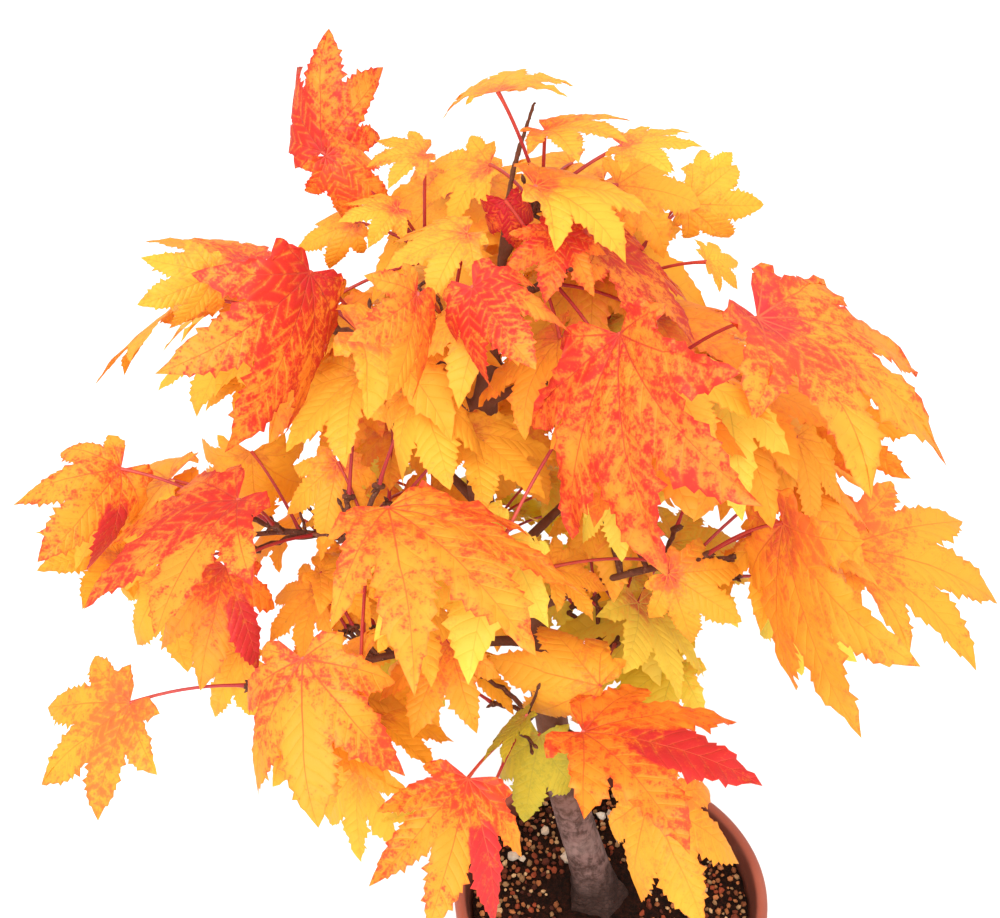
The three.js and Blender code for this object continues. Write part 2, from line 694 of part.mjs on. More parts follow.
// The tilt, turn, cup and fan that bring a leading leaf's side lobes to where the photo shows them
function readLead(lead) {
  const marks = [
    [NEXT_CW, lead.cw, 1],
    [NEXT_CCW, lead.ccw, 1],
    [OUTER_CW, lead.outerCw, OUTER_WEIGHT],
    [OUTER_CCW, lead.outerCcw, OUTER_WEIGHT],
  ].filter(([, pixel]) => pixel);
  const fans = lead.outerCw || lead.outerCcw ? evenly(LEAD_FANS) : [1];
  let best = { cost: Infinity };
  evenly(LEAD_TILTS).forEach((tilt) => {
    const { joint, length, axis } = leadAxis(lead, tilt, 0);
    const facing = facingAt(joint);
    const level = facing.clone().addScaledVector(axis, -facing.dot(axis)).normalize();
    evenly(LEAD_TURNS).forEach((turn) => {
      const normal = level.clone().applyAxisAngle(axis, turn);
      const side = axis.clone().cross(normal);
      const odd = DROP_COST * (axis.z - USUAL_DROP) ** 2 + FACE_COST * (1 - normal.dot(facing));
      evenly(LEAD_CUPS).forEach((cup) => {
        fans.forEach((fan) => {
          const leaf = { joint, axis, normal, side, length, cup, fan, bow: LEAD_BOW, twist: 0, wave: 0 };
          const miss = marks.reduce(
            (sum, [lobe, pixel, weight]) => sum + weight * pixelMiss(leaf, lobe, pixel),
            0,
          );
          const cost = miss + odd + CUP_COST * (cup - USUAL_CUP) ** 2;
          if (cost < best.cost) {
            best = { cost, tilt, turn, cup, fan };
          }
        });
      });
    });
  });
  return best;
}

function leadLeaf(lead, { tilt, turn, cup, fan }, shift, root, random) {
  const { joint, length, axis } = leadAxis(lead, tilt, shift);
  const leaf = poseLeaf(joint, axis, facingAt(joint), turn, length, root, random);
  return { ...leaf, cup, fan };
}

function seededLeaf(root, inFront, random) {
  const out = root.clone().sub(trunkAt(root.z).centre);
  const heading = Math.atan2(out.y, out.x) + between(random, SEEDED_SPREAD);
  const climb = between(random, SEEDED_CLIMB);
  const aim = new THREE.Vector3(Math.cos(heading), Math.sin(heading), climb).normalize();
  const joint = root.clone().addScaledVector(aim, between(random, SEEDED_STALK));
  const droop = between(random, SEEDED_DROOP);
  const swing = inFront
    ? -Math.PI / 2 + between(random, FRONT_SWING)
    : heading + between(random, SEEDED_SWING);
  const axis = new THREE.Vector3(
    Math.cos(swing) * Math.cos(droop),
    Math.sin(swing) * Math.cos(droop),
    -Math.sin(droop),
  );
  const roll = between(random, LEAF_ROLL);
  return poseLeaf(joint, axis, UP, roll, between(random, SEEDED_BLADE), root, random);
}

function blocksWindow(point) {
  const [column, row] = pixelOf(point);
  return OPEN_WINDOWS.some(
    ({ left, right, top, bottom }) => column > left && column < right && row > top && row < bottom,
  );
}

function insideCrown(leaf) {
  return LOBES.every(({ bearing, share }) => {
    const blocks = WINDOW_PROBES.some((probe) => blocksWindow(bladePoint(leaf, bearing, probe * share)));
    const tip = bladePoint(leaf, bearing, share);
    return !blocks && tip.sub(CROWN_CENTRE).divide(CROWN_RADII).length() < 1;
  });
}

// The middle of a leading leaf stays in the photo's view: nothing seeded comes before it
function viewOf(leaf) {
  const middle = bladePoint(leaf, 0, VIEW_SHARE);
  const [column, row] = pixelOf(middle);
  const size = VIEW_SIZE * Math.hypot(...pixelOf(leaf.joint).map((end, i) => end - pixelOf(middle)[i]));
  return { column, row, size, depth: middle.distanceTo(EYE) };
}

function hidesView(leaf) {
  return LOBES.some(({ bearing, share }) => {
    const point = bladePoint(leaf, bearing, WINDOW_PROBES[0] * share);
    const [across, down] = pixelOf(point);
    const depth = point.distanceTo(EYE);
    return leadViews.some(
      (view) => depth < view.depth && Math.hypot(across - view.column, down - view.row) < view.size,
    );
  });
}

function boxesMeet(a, b, room) {
  return [0, 1, 2].every((k) => a.min[k] < b.max[k] + room && b.min[k] < a.max[k] + room);
}

function isClear(solid, others, room = LEAF_CLEARANCE) {
  const box = solid.boundingBox();
  return others.every((other) => {
    if (!boxesMeet(box, other.box, room)) {
      return true;
    }
    return solid.minGap(other.solid, room * 2) > room;
  });
}

function boxed(solid, owner) {
  return { solid, owner, box: solid.boundingBox() };
}

// Stem from the bough's tip to the heart, and a twig towards each far leading leaf
function skeleton(spray) {
  const { line } = boughLine(spray);
  const start = Math.round((line.length - 1) * BOUGH_SHARE);
  const stemLine = line.slice(start).filter((_, i) => i % STEM_STRIDE === 0).map((p) => p.clone());
  const onward = stemLine[1].clone().sub(stemLine[0]).normalize();
  stemLine[0].addScaledVector(onward, STEM_GAP);
  const radii = stemLine.map((_, i) =>
    THREE.MathUtils.lerp(STEM_RADIUS, STEM_TIP_RADIUS, i / (stemLine.length - 1)),
  );
  let solid = limb(stemLine, radii, STEM_SIDES);
  const nodes = STEM_NODES.map((share) => stemLine[Math.round((stemLine.length - 1) * share)]);
  const roots = spray.leads.map((lead, n) => {
    const node = nodes[Math.floor(n / 2) % STEM_NODES.length];
    const joint = sight(lead.joint, lead.behind);
    const distance = node.distanceTo(joint);
    if (distance < STALK_LIMIT) {
      return node;
    }
    const end = node.clone().lerp(joint, 1 - STALK_REACH / distance);
    solid = solid.add(limb(arc(node, end, TWIG_ARCH, 3), TWIG_RADII, 3));
    nodes.push(end);
    return end;
  });
  return { solid, roots, nodes };
}

const group = new THREE.Group();
group.name = 'maple_bonsai';

function addMesh(name, solid, colour, roughness) {
  const { vertProperties, triVerts } = solid.getMesh();
  const geometry = new THREE.BufferGeometry();
  geometry.setAttribute('position', new THREE.BufferAttribute(new Float32Array(vertProperties), 3));
  geometry.setIndex(new THREE.BufferAttribute(new Uint32Array(triVerts), 1));
  geometry.computeVertexNormals();
  const material = new THREE.MeshStandardMaterial({ color: colour, roughness, metalness: 0 });
  const mesh = new THREE.Mesh(geometry, material);
  mesh.name = name;
  group.add(mesh);
}

const pot = potSolid();
const soil = soilSolid();
const trunk = trunkSolid(0);
const trunkGrown = trunkSolid(GAP);
addMesh('pot', pot, POT_COLOUR, POT_ROUGHNESS);
addMesh('soil', soil, SOIL_COLOUR, SOIL_ROUGHNESS);
addMesh('trunk', trunk, BARK_COLOUR, BARK_ROUGHNESS);

// Limbs first, then every spray's twigs, then the leaves one by one where they are clear
const limbs = [boxed(pot), boxed(soil), boxed(trunk)];
SPRAYS.forEach((spray) => {
  const bough = boughSolid(spray, trunkGrown);
  limbs.push(boxed(bough));
  addMesh(`bough_${spray.name}`, bough, BARK_COLOUR, BARK_ROUGHNESS);
});
const frames = SPRAYS.map((spray) => skeleton(spray));
const placed = frames.map((frame, owner) => boxed(frame.solid, owner));
const sprayLeaves = frames.map((frame, owner) => [boxed(frame.solid, owner)]);

function tryLeaf(leaf, owner) {
  const stalkWay = leaf.joint.clone().sub(leaf.root).normalize();
  if (Math.abs(stalkWay.dot(leaf.normal)) > STALK_TURN_LIMIT) {
    return false;
  }
  const solid = leafSolid(leaf);
  const others = placed.filter((item) => item.owner !== owner).concat(limbs);
  const outer = solid.trimByPlane(stalkWay.toArray(), stalkWay.dot(leaf.root) + STALK_FREE);
  if (solid.volume() <= 0 || !isClear(solid, others) || !isClear(outer, sprayLeaves[owner])) {
    return false;
  }
  sprayLeaves[owner].push(boxed(outer, owner));
  placed.push(boxed(solid, owner));
  frames[owner].solid = frames[owner].solid.add(solid);
  return true;
}

const readings = SPRAYS.map((spray) => spray.leads.map(readLead));
const leadViews = [];
const mostLeads = Math.max(...SPRAYS.map((spray) => spray.leads.length));
for (let n = 0; n < mostLeads; n += 1) {
  SPRAYS.forEach((spray, owner) => {
    const lead = spray.leads[n];
    if (!lead) {
      return;
    }
    LEAD_SHIFTS.some((shift, turn) => {
      const random = seeded(spray.seed * SPRAY_SEEDS + n * LEAF_SEEDS + turn);
      const leaf = leadLeaf(lead, readings[owner][n], shift, frames[owner].roots[n], random);
      const fits = tryLeaf(leaf, owner);
      if (fits) {
        leadViews.push(viewOf(leaf));
      }
      return fits;
    });
  });
}
SPRAYS.forEach((spray, owner) => {
  for (let n = 0; n < spray.fill; n += 1) {
    for (let turn = 0; turn < SEEDED_TRIES; turn += 1) {
      const random = seeded(spray.seed * SPRAY_SEEDS + FILL_SEEDS + n * LEAF_SEEDS + turn);
      const inFront = spray.leads.length > 0;
      const leaf = seededLeaf(frames[owner].nodes[n % frames[owner].nodes.length], inFront, random);
      if (!hidesView(leaf) && insideCrown(leaf) && tryLeaf(leaf, owner)) {
        break;
      }
    }
  }
  const whole = largestPiece(frames[owner].solid.simplify(SEAM));
  addMesh(`foliage_${spray.name}`, whole, TINTS[spray.tint], LEAF_ROUGHNESS);
});

export default group;
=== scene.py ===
"""Looks of a maple bonsai in autumn leaf, standing in a round clay pot of gritty soil."""

import math
from collections import namedtuple
from functools import lru_cache
from itertools import pairwise

import bpy
import numpy as np
from bpy.props import FloatProperty, FloatVectorProperty, IntProperty, PointerProperty
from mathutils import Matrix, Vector
from mathutils.kdtree import KDTree


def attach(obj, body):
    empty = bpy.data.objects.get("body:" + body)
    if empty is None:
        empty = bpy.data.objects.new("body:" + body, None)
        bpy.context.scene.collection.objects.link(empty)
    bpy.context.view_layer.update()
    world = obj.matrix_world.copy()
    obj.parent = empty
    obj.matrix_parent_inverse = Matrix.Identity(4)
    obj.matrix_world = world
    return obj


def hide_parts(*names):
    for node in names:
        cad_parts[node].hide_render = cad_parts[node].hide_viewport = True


bl_info = {
    "name": "Maple Bonsai",
    "version": (1, 0, 0),
    "blender": (4, 5, 0),
    "location": "View3D > Sidebar > Bonsai",
    "description": "Grows a potted maple bonsai in autumn leaf over its solid frame",
    "category": "Object",
}

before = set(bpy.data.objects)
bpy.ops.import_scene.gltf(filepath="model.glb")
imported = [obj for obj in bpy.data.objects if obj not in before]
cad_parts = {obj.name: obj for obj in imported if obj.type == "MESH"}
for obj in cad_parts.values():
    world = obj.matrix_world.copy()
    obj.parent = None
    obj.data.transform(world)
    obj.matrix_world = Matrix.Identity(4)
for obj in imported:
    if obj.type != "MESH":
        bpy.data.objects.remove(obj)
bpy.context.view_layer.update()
MM = 0.001

# The photo's eye, in millimetres and pixels
EYE = np.array((-53.0, -459.0, 748.0))
EYE_TILT = math.radians(39.7)
EYE_FOCAL = 1600.0
EYE_CENTRE = (500.0, 459.0)
EYE_PULL = 0.38
IMAGE_WIDTH = 1000.0
SENSOR_WIDTH = 36.0
UP = np.array((0.0, 0.0, 1.0))

# Trunk line: x, y, z and radius of each station, from the soil to the cut tip
Station = namedtuple("Station", "x y z radius")
TRUNK = (
    Station(-6, 2, 92.3, 13.2),
    Station(-7, 2, 99, 11.4),
    Station(-10, 2, 113, 9.9),
    Station(-17, 3, 142, 8.9),
    Station(-25, 4, 178, 8.1),
    Station(-33, 6, 232, 6.9),
    Station(-40, 8, 274, 6.1),
    Station(-52, 10, 302, 5.6),
    Station(-61, 14, 340, 5.0),
    Station(-59, 18, 375, 5.1),
    Station(-54, 25, 418, 3.4),
    Station(-50, 33, 458, 2.2),
    Station(-47, 36, 474, 1.7),
    Station(-41, 40, 493, 1.3),
)

# Boughs, stems and twigs
BOUGH_ROOT_SHARE = 0.5
BOUGH_TIP_RADIUS = 1.7
BOUGH_SWELL = 0.3
BOUGH_ARCH = 0.12
BOUGH_SHARE = 0.68
LINE_STEPS = 41
STEM_STRIDE = 3
STEM_RADIUS = 1.6
STEM_TIP_RADIUS = 1.2
STEM_GAP = 0.4
STEM_NODES = (1, 0.7, 0.4)
TWIG_RADIUS = 1.1
TWIG_ARCH = 0.08
STALK_RADIUS = 0.8
STALK_REACH = 46
STALK_LIMIT = 58
STALK_ARCH = 0.14

# Leaf blade: bearing in degrees and share of the blade's length of each lobe, and the webs between
LOBES = ((-118, 0.31), (-76, 0.64), (-38, 0.93), (0, 1.0), (38, 0.93), (76, 0.64), (118, 0.31))
WEBS = (0.24, 0.38, 0.5, 0.5, 0.38, 0.24)
LEAF_ROLL = (-0.2, 0.2)
LEAF_BOW = (0.04, 0.1)
LEAF_CUP = (0.35, 0.95)
LEAF_TWIST = (-0.1, 0.1)
LEAF_WAVE = (-0.08, 0.08)
SEEDED_BLADE = (40, 66)
SEEDED_STALK = (22, 56)
SEEDED_DROOP = (0.14, 0.87)
SEEDED_SPREAD = (-1.5, 1.5)
SEEDED_SWING = (-0.6, 0.6)
FRONT_SWING = (-1.8, 1.8)
SEEDED_CLIMB = (-0.7, 0.9)
SEEDED_TRIES = 240
SPRAY_SEEDS = 100000
FILL_SEEDS = 50000
LEAF_SEEDS = 1000
# Leading leaves: tilts, turns, cups and fans (spread of the lobes) to choose from as first, last and
# count, and what it costs, in square pixels, to hang or face oddly
LEAD_TILTS = (-80, 40, 31)
LEAD_TURNS = (-1.4, 1.4, 29)
LEAD_CUPS = (0.2, 1.4, 9)
LEAD_FANS = (0.75, 1.15, 5)
LEAD_BOW = 0.06
OUTER_WEIGHT = 0.4
USUAL_DROP = -0.45
USUAL_CUP = 0.6
DROP_COST = 300
FACE_COST = 200
CUP_COST = 60
LEAD_SHIFTS = (0, -6, 6, -12, 12, -18, 18, -24, 24, -32, 32, -40, 40)
TIP_MATCH = 0.1

# Sprays: fork height, heart, seed, number of seeded leaves with their tint, and leading leaves as
# the photo shows them (pixels): joint, tip, and tips of the lobes next to it, clockwise and
# anticlockwise; then how far the joint lies behind the pot's middle (mm), the leaf's tint, for
# large leaves the tips one lobe further out, and which lobes have turned red
Lead = namedtuple("Lead", "joint tip cw ccw behind tint outer_cw outer_ccw blush", defaults=(None, None, ()))
Spray = namedtuple("Spray", "name slot fork heart seed fill tint leads")
SPRAYS = (
    Spray("apex", "leaf_orange", 436, (-38, 26, 462), 11, 4, "gold", (
        Lead((498, 92), (518, 70), (562, 82), (452, 100), 30, "gold"),
        Lead((545, 131), (628, 139), (589, 154), (643, 126), 22, "amber"),
        Lead((622, 146), (703, 147), (668, 168), (690, 128), 38, "gold"),
        Lead((617, 185), (703, 205), (672, 243), (655, 150), 46, "gold"),
        Lead((490, 165), (420, 205), (438, 160), (452, 222), 62, "gold"),
    )),
    Spray("crown_front", "leaf_red", 416, (-34, 8, 440), 12, 3, "amber", (
        Lead((560, 232), (545, 303), (510, 271), (606, 296), -4, "vermilion"),
        Lead((505, 200), (518, 250), (490, 228), (535, 215), -2, "crimson"),
        Lead((598, 240), (700, 345), (642, 320), (692, 283), 6, "vermilion"),
    )),
    Spray("right_top_back", "leaf_yellow", 384, (-8, 62, 402), 13, 4, "lemon", (
        Lead((686, 204), (765, 205), (733, 235), (735, 165), 80, "gold"),
        Lead((700, 185), (733, 151), (738, 178), (703, 150), 98, "lemon"),
        Lead((706, 262), (738, 262), (735, 287), (712, 240), 40, "lemon"),
        Lead((512, 430), (548, 505), (500, 500), (562, 460), 44, "gold"),
    )),
    Spray("left_top", "leaf_orange", 394, (-84, 56, 426), 14, 3, "lemon", (
        Lead((322, 152), (328, 28), (385, 70), (300, 62), 74, "vermilion"),
        Lead((326, 156), (393, 208), (352, 201), (363, 172), 66, "orange"),
        Lead((425, 154), (366, 166), (378, 143), (393, 186), 56, "amber"),
        Lead((356, 222), (297, 250), (312, 230), (344, 265), 62, "gold"),
        Lead((397, 209), (338, 222), (350, 205), (388, 262), 48, "gold"),
    )),
    Spray("left_upper", "leaf_orange", 372, (-100, 12, 412), 15, 4, "amber", (
        Lead((310, 272), (230, 455), (153, 385), (262, 420), -6, "vermilion", outer_ccw=(346, 376)),
        Lead((255, 262), (145, 241), (200, 228), (160, 262), 34, "orange"),
        Lead((190, 298), (94, 385), (115, 345), (128, 350), 22, "gold"),
        Lead((215, 275), (137, 305), (142, 256), (165, 330), 12, "gold"),
    )),
    Spray("front_left_upper", "leaf_orange", 404, (-72, -2, 428), 16, 4, "gold", (
        Lead((473, 287), (536, 370), (497, 396), (563, 332), -28, "vermilion"),
        Lead((417, 294), (388, 401), (350, 345), (411, 406), -34, "orange"),
        Lead((467, 233), (385, 268), (395, 240), (438, 300), 0, "gold"),
    )),
    Spray("right_upper", "leaf_orange", 392, (8, 2, 408), 17, 5, "gold", (
        Lead((757, 318), (952, 462), (877, 478), (925, 350), -14, "orange", outer_ccw=(826, 278)),
        Lead((796, 437), (812, 528), (766, 497), (842, 503), 14, "gold"),
        Lead((826, 404), (912, 478), (862, 480), (930, 430), 34, "amber"),
    )),
    Spray("front_centre", "leaf_red", 378, (-28, -22, 420), 18, 4, "lime", (
        Lead(
            (620, 334), (665, 578), (592, 525), (759, 507), -46, "vermilion",
            outer_cw=(507, 440), outer_ccw=(722, 360),
        ),
        Lead((612, 474), (622, 562), (585, 545), (650, 535), -4, "lime"),
        Lead((668, 573), (742, 622), (699, 642), (738, 556), -16, "gold"),
    )),
    Spray("left_mid", "leaf_red", 292, (-142, 14, 318), 19, 4, "gold", (
        Lead((238, 500), (83, 608), (102, 548), (160, 645), -22, "vermilion", outer_ccw=(239, 581)),
        Lead((121, 469), (38, 562), (2, 512), (87, 568), 18, "orange", blush=(2,)),
        Lead((120, 555), (37, 570), (50, 540), (103, 617), 38, "gold"),
        Lead((252, 452), (258, 535), (199, 476), (303, 488), 52, "lemon"),
        Lead((225, 566), (200, 691), (160, 650), (252, 664), 2, "orange", outer_ccw=(290, 608), blush=(2,)),
        Lead((165, 572), (188, 672), (133, 640), (230, 635), 26, "gold"),
    )),
    Spray("centre_left", "leaf_orange", 312, (-112, -22, 346), 20, 5, "lemon", (
        Lead(
            (388, 508), (537, 650), (404, 668), (598, 621), -58, "orange",
            outer_cw=(371, 627), outer_ccw=(524, 517),
        ),
        Lead((360, 374), (286, 452), (282, 411), (345, 470), 8, "lemon"),
        Lead((420, 385), (450, 490), (405, 470), (495, 480), -12, "lemon"),
        Lead((450, 642), (412, 738), (385, 700), (482, 735), -34, "amber"),
        Lead((470, 432), (545, 500), (490, 505), (565, 455), -14, "lemon"),
        Lead((338, 462), (322, 545), (288, 512), (366, 530), 2, "gold"),
    )),
    Spray("lower_left", "leaf_orange", 262, (-128, -32, 282), 21, 4, "gold", (
        Lead(
            (130, 703), (42, 785), (38, 707), (100, 825), -44, "amber",
            outer_cw=(98, 657), outer_ccw=(170, 767),
        ),
        Lead(
            (303, 659), (318, 828), (270, 792), (400, 775), -72, "orange",
            outer_cw=(228, 711), outer_ccw=(398, 690),
        ),
        Lead((361, 763), (360, 863), (326, 815), (400, 850), -40, "lemon"),
        Lead((241, 650), (213, 718), (212, 672), (262, 712), -18, "lemon"),
        Lead((372, 716), (455, 741), (432, 772), (430, 702), -30, "lemon"),
    )),
    Spray("low_front", "leaf_red", 222, (-46, -42, 262), 22, 4, "lime", (
        Lead(
            (468, 778), (428, 934), (362, 888), (490, 926), -76, "orange",
            outer_cw=(360, 818), outer_ccw=(525, 852),
            blush=(2,),
        ),
        # These two lime leaves stand in full light and take the darker copy of the lime, which is painted
        # shade
        Lead((527, 716), (482, 762), (490, 735), (500, 758), -50, "moss"),
        Lead((540, 735), (524, 822), (515, 770), (562, 780), -32, "moss"),
    )),
    Spray("low_right_front", "leaf_orange", 206, (-18, -40, 250), 23, 4, "gold", (
        Lead(
            (583, 732), (763, 785), (682, 846), (732, 730), -62, "orange",
            outer_cw=(605, 831), outer_ccw=(660, 670),
            blush=(3,),
        ),
        Lead((650, 795), (703, 925), (637, 897), (742, 868), -34, "gold"),
    )),
    Spray("right_mid", "leaf_orange", 278, (22, -4, 318), 24, 6, "gold", (
        Lead((783, 523), (863, 738), (816, 678), (903, 668), -30, "amber", outer_cw=(722, 615)),
        Lead(
            (842, 547), (1003, 600), (984, 658), (970, 522), 8, "amber",
            outer_cw=(915, 650), outer_ccw=(878, 478),
        ),
        Lead((800, 590), (800, 677), (770, 648), (875, 675), 34, "lime"),
        Lead((548, 568), (608, 590), (595, 622), (590, 552), -20, "gold"),
    )),
    Spray("inner_right", "leaf_lime", 236, (2, 22, 256), 25, 6, "lime", (
        Lead((672, 542), (738, 540), (742, 590), (702, 512), 26, "lime"),
        Lead((638, 603), (680, 700), (625, 680), (706, 682), 10, "lime"),
        Lead((600, 686), (488, 658), (545, 630), (522, 706), -36, "gold"),
    )),
    Spray("back_left", "leaf_yellow", 328, (-128, 92, 338), 26, 9, "lemon", ()),
    Spray("back_centre", "leaf_yellow", 346, (-52, 112, 352), 27, 10, "gold", ()),
    Spray("back_right", "leaf_yellow", 302, (24, 98, 306), 28, 9, "gold", ()),
    Spray("back_low", "leaf_lime", 248, (-62, 96, 246), 29, 9, "lime", ()),
)


def linear(code):
    """Linear red, green and blue of a six-digit colour code."""
    shares = [int(code[k : k + 2], 16) / 255 for k in (0, 2, 4)]
    return tuple(s / 12.92 if s <= 0.04045 else ((s + 0.055) / 1.055) ** 2.4 for s in shares)


def colour_property(name, code):
    """A colour that a user may change, given as a six-digit code."""
    return FloatVectorProperty(
        name=name,
        description=f"Colour of the {name.lower()}",
        subtype="COLOR",
        size=3,
        min=0,
        max=1,
        default=linear(code),
    )


def length_property(name, millimetres, description):
    """A length that a user may change, given in millimetres."""
    return FloatProperty(name=name, description=description, default=millimetres * MM, unit="LENGTH")


class BonsaiSizes(bpy.types.PropertyGroup):
    """Sizes of the pot, the soil and the finer growth."""

    rim_radius: length_property("Rim radius", 75, "Outer radius of the pot's lip")
    pot_height: length_property("Pot height", 100, "Height of the pot")
    foot_radius: length_property("Foot radius", 52, "Radius of the pot's underside")
    rim_width: length_property("Rim width", 5.6, "Thickness of the pot's lip")
    rim_band: length_property("Rim band", 15, "Height of the thicker band below the lip")
    soil_level: length_property("Soil level", 92, "Height of the soil at the trunk")
    grain_count: IntProperty(name="Grains", description="Grains of grit on the soil", default=3200, min=0)
    bark_relief: length_property("Bark relief", 0.5, "Depth of the bark's wrinkles")
    blade_thickness: FloatProperty(
        name="Blade thickness",
        description="Thickness of a leaf blade as a share of its length",
        default=0.006,
        min=0.002,
        max=0.02,
        subtype="FACTOR",
    )


class BonsaiColours(bpy.types.PropertyGroup):
    """Colours of the leaves, the wood, the pot and the soil."""

    lemon: colour_property("Lemon leaves", "fcc640")
    gold: colour_property("Gold leaves", "fbc03e")
    amber: colour_property("Amber leaves", "fbb73a")
    orange: colour_property("Orange leaves", "fbb038")
    vermilion: colour_property("Vermilion leaves", "faa636")
    crimson: colour_property("Crimson leaves", "f79436")
    # Lime leaves: their own yellow-green, painted lighter as painted light for the leaves in the crown's
    # shade
    lime: colour_property("Lime leaves", "f4dc58")
    # A darker copy of the lime colour: painted shade for the lime leaves in full light at the low front
    moss: colour_property("Lime leaves with painted shade", "dac43a")
    stalk: colour_property("Leaf stalks", "9f2124")
    twig: colour_property("Twigs", "74442f")
    bark: colour_property("Bark", "82625b")
    pot: colour_property("Clay pot", "964632")
    soil: colour_property("Soil", "34190f")


# Each tint turns from its base to a middle and then to a deep colour: both colours, the colour of
# the ribs, and the shares of the blade that have turned so far
Flush = namedtuple("Flush", "middle deep rib turned reddened")
FLUSHES = {
    "lemon": Flush("fbbc3c", "f6a034", "eb9a38", 0.32, 0.08),
    "gold": Flush("fbb43a", "f28e34", "e68436", 0.34, 0.09),
    "amber": Flush("faa638", "ee7232", "de7036", 0.36, 0.13),
    "orange": Flush("f99836", "e0482a", "d65a38", 0.4, 0.18),
    "vermilion": Flush("f68234", "cc2e24", "c0402e", 0.46, 0.36),
    "crimson": Flush("ec5832", "be1c2c", "b83034", 0.58, 0.46),
    # Lime: painted lighter, as painted light for the leaves in the crown's shade
    "lime": Flush("eadc52", "f2c248", "d8c252", 0.4, 0.2),
    # A darker copy of the lime: painted shade for the lime leaves in full light
    "moss": Flush("c8b834", "b0a22c", "b4a63c", 0.42, 0.24),
}
BLUSH_COLOUR = "bc242c"
LEAF_TINTS = tuple(FLUSHES)


class Wire:
    """One output of a node; arithmetic on it adds Math nodes."""

    def __init__(self, finish, socket):
        self.finish = finish
        self.socket = socket

    def maths(self, operation, *values, clamp=False):
        settings = {"operation": operation, "use_clamp": clamp}
        return self.finish.node("ShaderNodeMath", settings, dict(enumerate(values)))

    def __add__(self, other):
        return self.maths("ADD", self, other)

    def __radd__(self, other):
        return self.maths("ADD", other, self)

    def __sub__(self, other):
        return self.maths("SUBTRACT", self, other)

    def __rsub__(self, other):
        return self.maths("SUBTRACT", other, self)

    def __mul__(self, other):
        return self.maths("MULTIPLY", self, other)

    def __rmul__(self, other):
        return self.maths("MULTIPLY", other, self)

    def __truediv__(self, other):
        return self.maths("DIVIDE", self, other)

    def __pow__(self, other):
        return self.maths("POWER", self, other)

    def __abs__(self):
        return self.maths("ABSOLUTE", self)

    def fraction(self):
        return self.maths("FRACT", self)

    def ramp(self, low, high):
        """0 below low, 1 above high and smooth between."""
        settings = {"interpolation_type": "SMOOTHSTEP"}
        return self.finish.node("ShaderNodeMapRange", settings, {0: self, 1: low, 2: high, 3: 0.0, 4: 1.0})


class Finish:
    """A material being wired: each node is added by type, settings and inputs."""

    def __init__(self, name):
        self.material = bpy.data.materials.new(name)
        self.material.use_nodes = True
        self.tree = self.material.node_tree
        self.tree.nodes.clear()

    def node(self, kind, settings=None, inputs=None, output=0):
        made = self.tree.nodes.new(kind)
        for key, value in (settings or {}).items():
            setattr(made, key, value)
        for key, value in (inputs or {}).items():
            if isinstance(value, Wire):
                self.tree.links.new(value.socket, made.inputs[key])
            else:
                made.inputs[key].default_value = value
        return Wire(self, made.outputs[output])

    def place(self):
        return self.node("ShaderNodeTexCoord", output="Object")

    def stretched(self, scale):
        return self.node("ShaderNodeMapping", inputs={"Vector": self.place(), "Scale": scale})

    def uv(self, name):
        """Both parts of a UV map."""
        both = self.node("ShaderNodeUVMap", {"uv_map": name})
        return [self.node("ShaderNodeSeparateXYZ", inputs={0: both}, output=k) for k in (0, 1)]

    def height(self):
        return self.node("ShaderNodeSeparateXYZ", inputs={0: self.place()}, output=2)

    def off_axis(self):
        """Distance from the pot's axis."""
        x, y = (self.node("ShaderNodeSeparateXYZ", inputs={0: self.place()}, output=k) for k in (0, 1))
        return (x * x + y * y) ** 0.5

    def attribute(self, name):
        return self.node("ShaderNodeAttribute", {"attribute_name": name}, output="Fac")

    def noise(self, scale, detail=3.0, roughness=0.55, distortion=0.0, vector=None):
        inputs = {
            "Vector": vector or self.place(),
            "Scale": scale,
            "Detail": detail,
            "Roughness": roughness,
            "Distortion": distortion,
        }
        return self.node("ShaderNodeTexNoise", inputs=inputs, output="Fac")

    def cells(self, scale, feature="F1", vector=None):
        inputs = {"Vector": vector or self.place(), "Scale": scale}
        return self.node("ShaderNodeTexVoronoi", {"feature": feature}, inputs, "Distance")

    def mix(self, factor, first, second):
        """One colour laid over another."""
        inputs = {0: factor, 6: opaque(first), 7: opaque(second)}
        return self.node("ShaderNodeMix", {"data_type": "RGBA"}, inputs, 2)

    def bump(self, height, strength, distance):
        inputs = {"Height": height, "Strength": strength, "Distance": distance}
        return self.node("ShaderNodeBump", inputs=inputs)

    def surface(self, **inputs):
        named = {key.replace("_", " "): value for key, value in inputs.items()}
        return self.node("ShaderNodeBsdfPrincipled", inputs=named)

    def done(self, shader):
        end = self.tree.nodes.new("ShaderNodeOutputMaterial")
        self.tree.links.new(shader.socket, end.inputs["Surface"])
        return self.material


def opaque(colour):
    return colour if isinstance(colour, Wire) else (*tuple(colour)[:3], 1.0)


# Leaf pattern, in blade lengths
VEIN_STEP = 0.092
RIB_WIDTH = 0.0075
RIB_HALO = 0.05
SPOT_COLOUR = "8a5a34"
LEAF_LIGHT_THROUGH = 0.42
BLUSH_SHADE = 0.26
RED_SHADE = 0.14


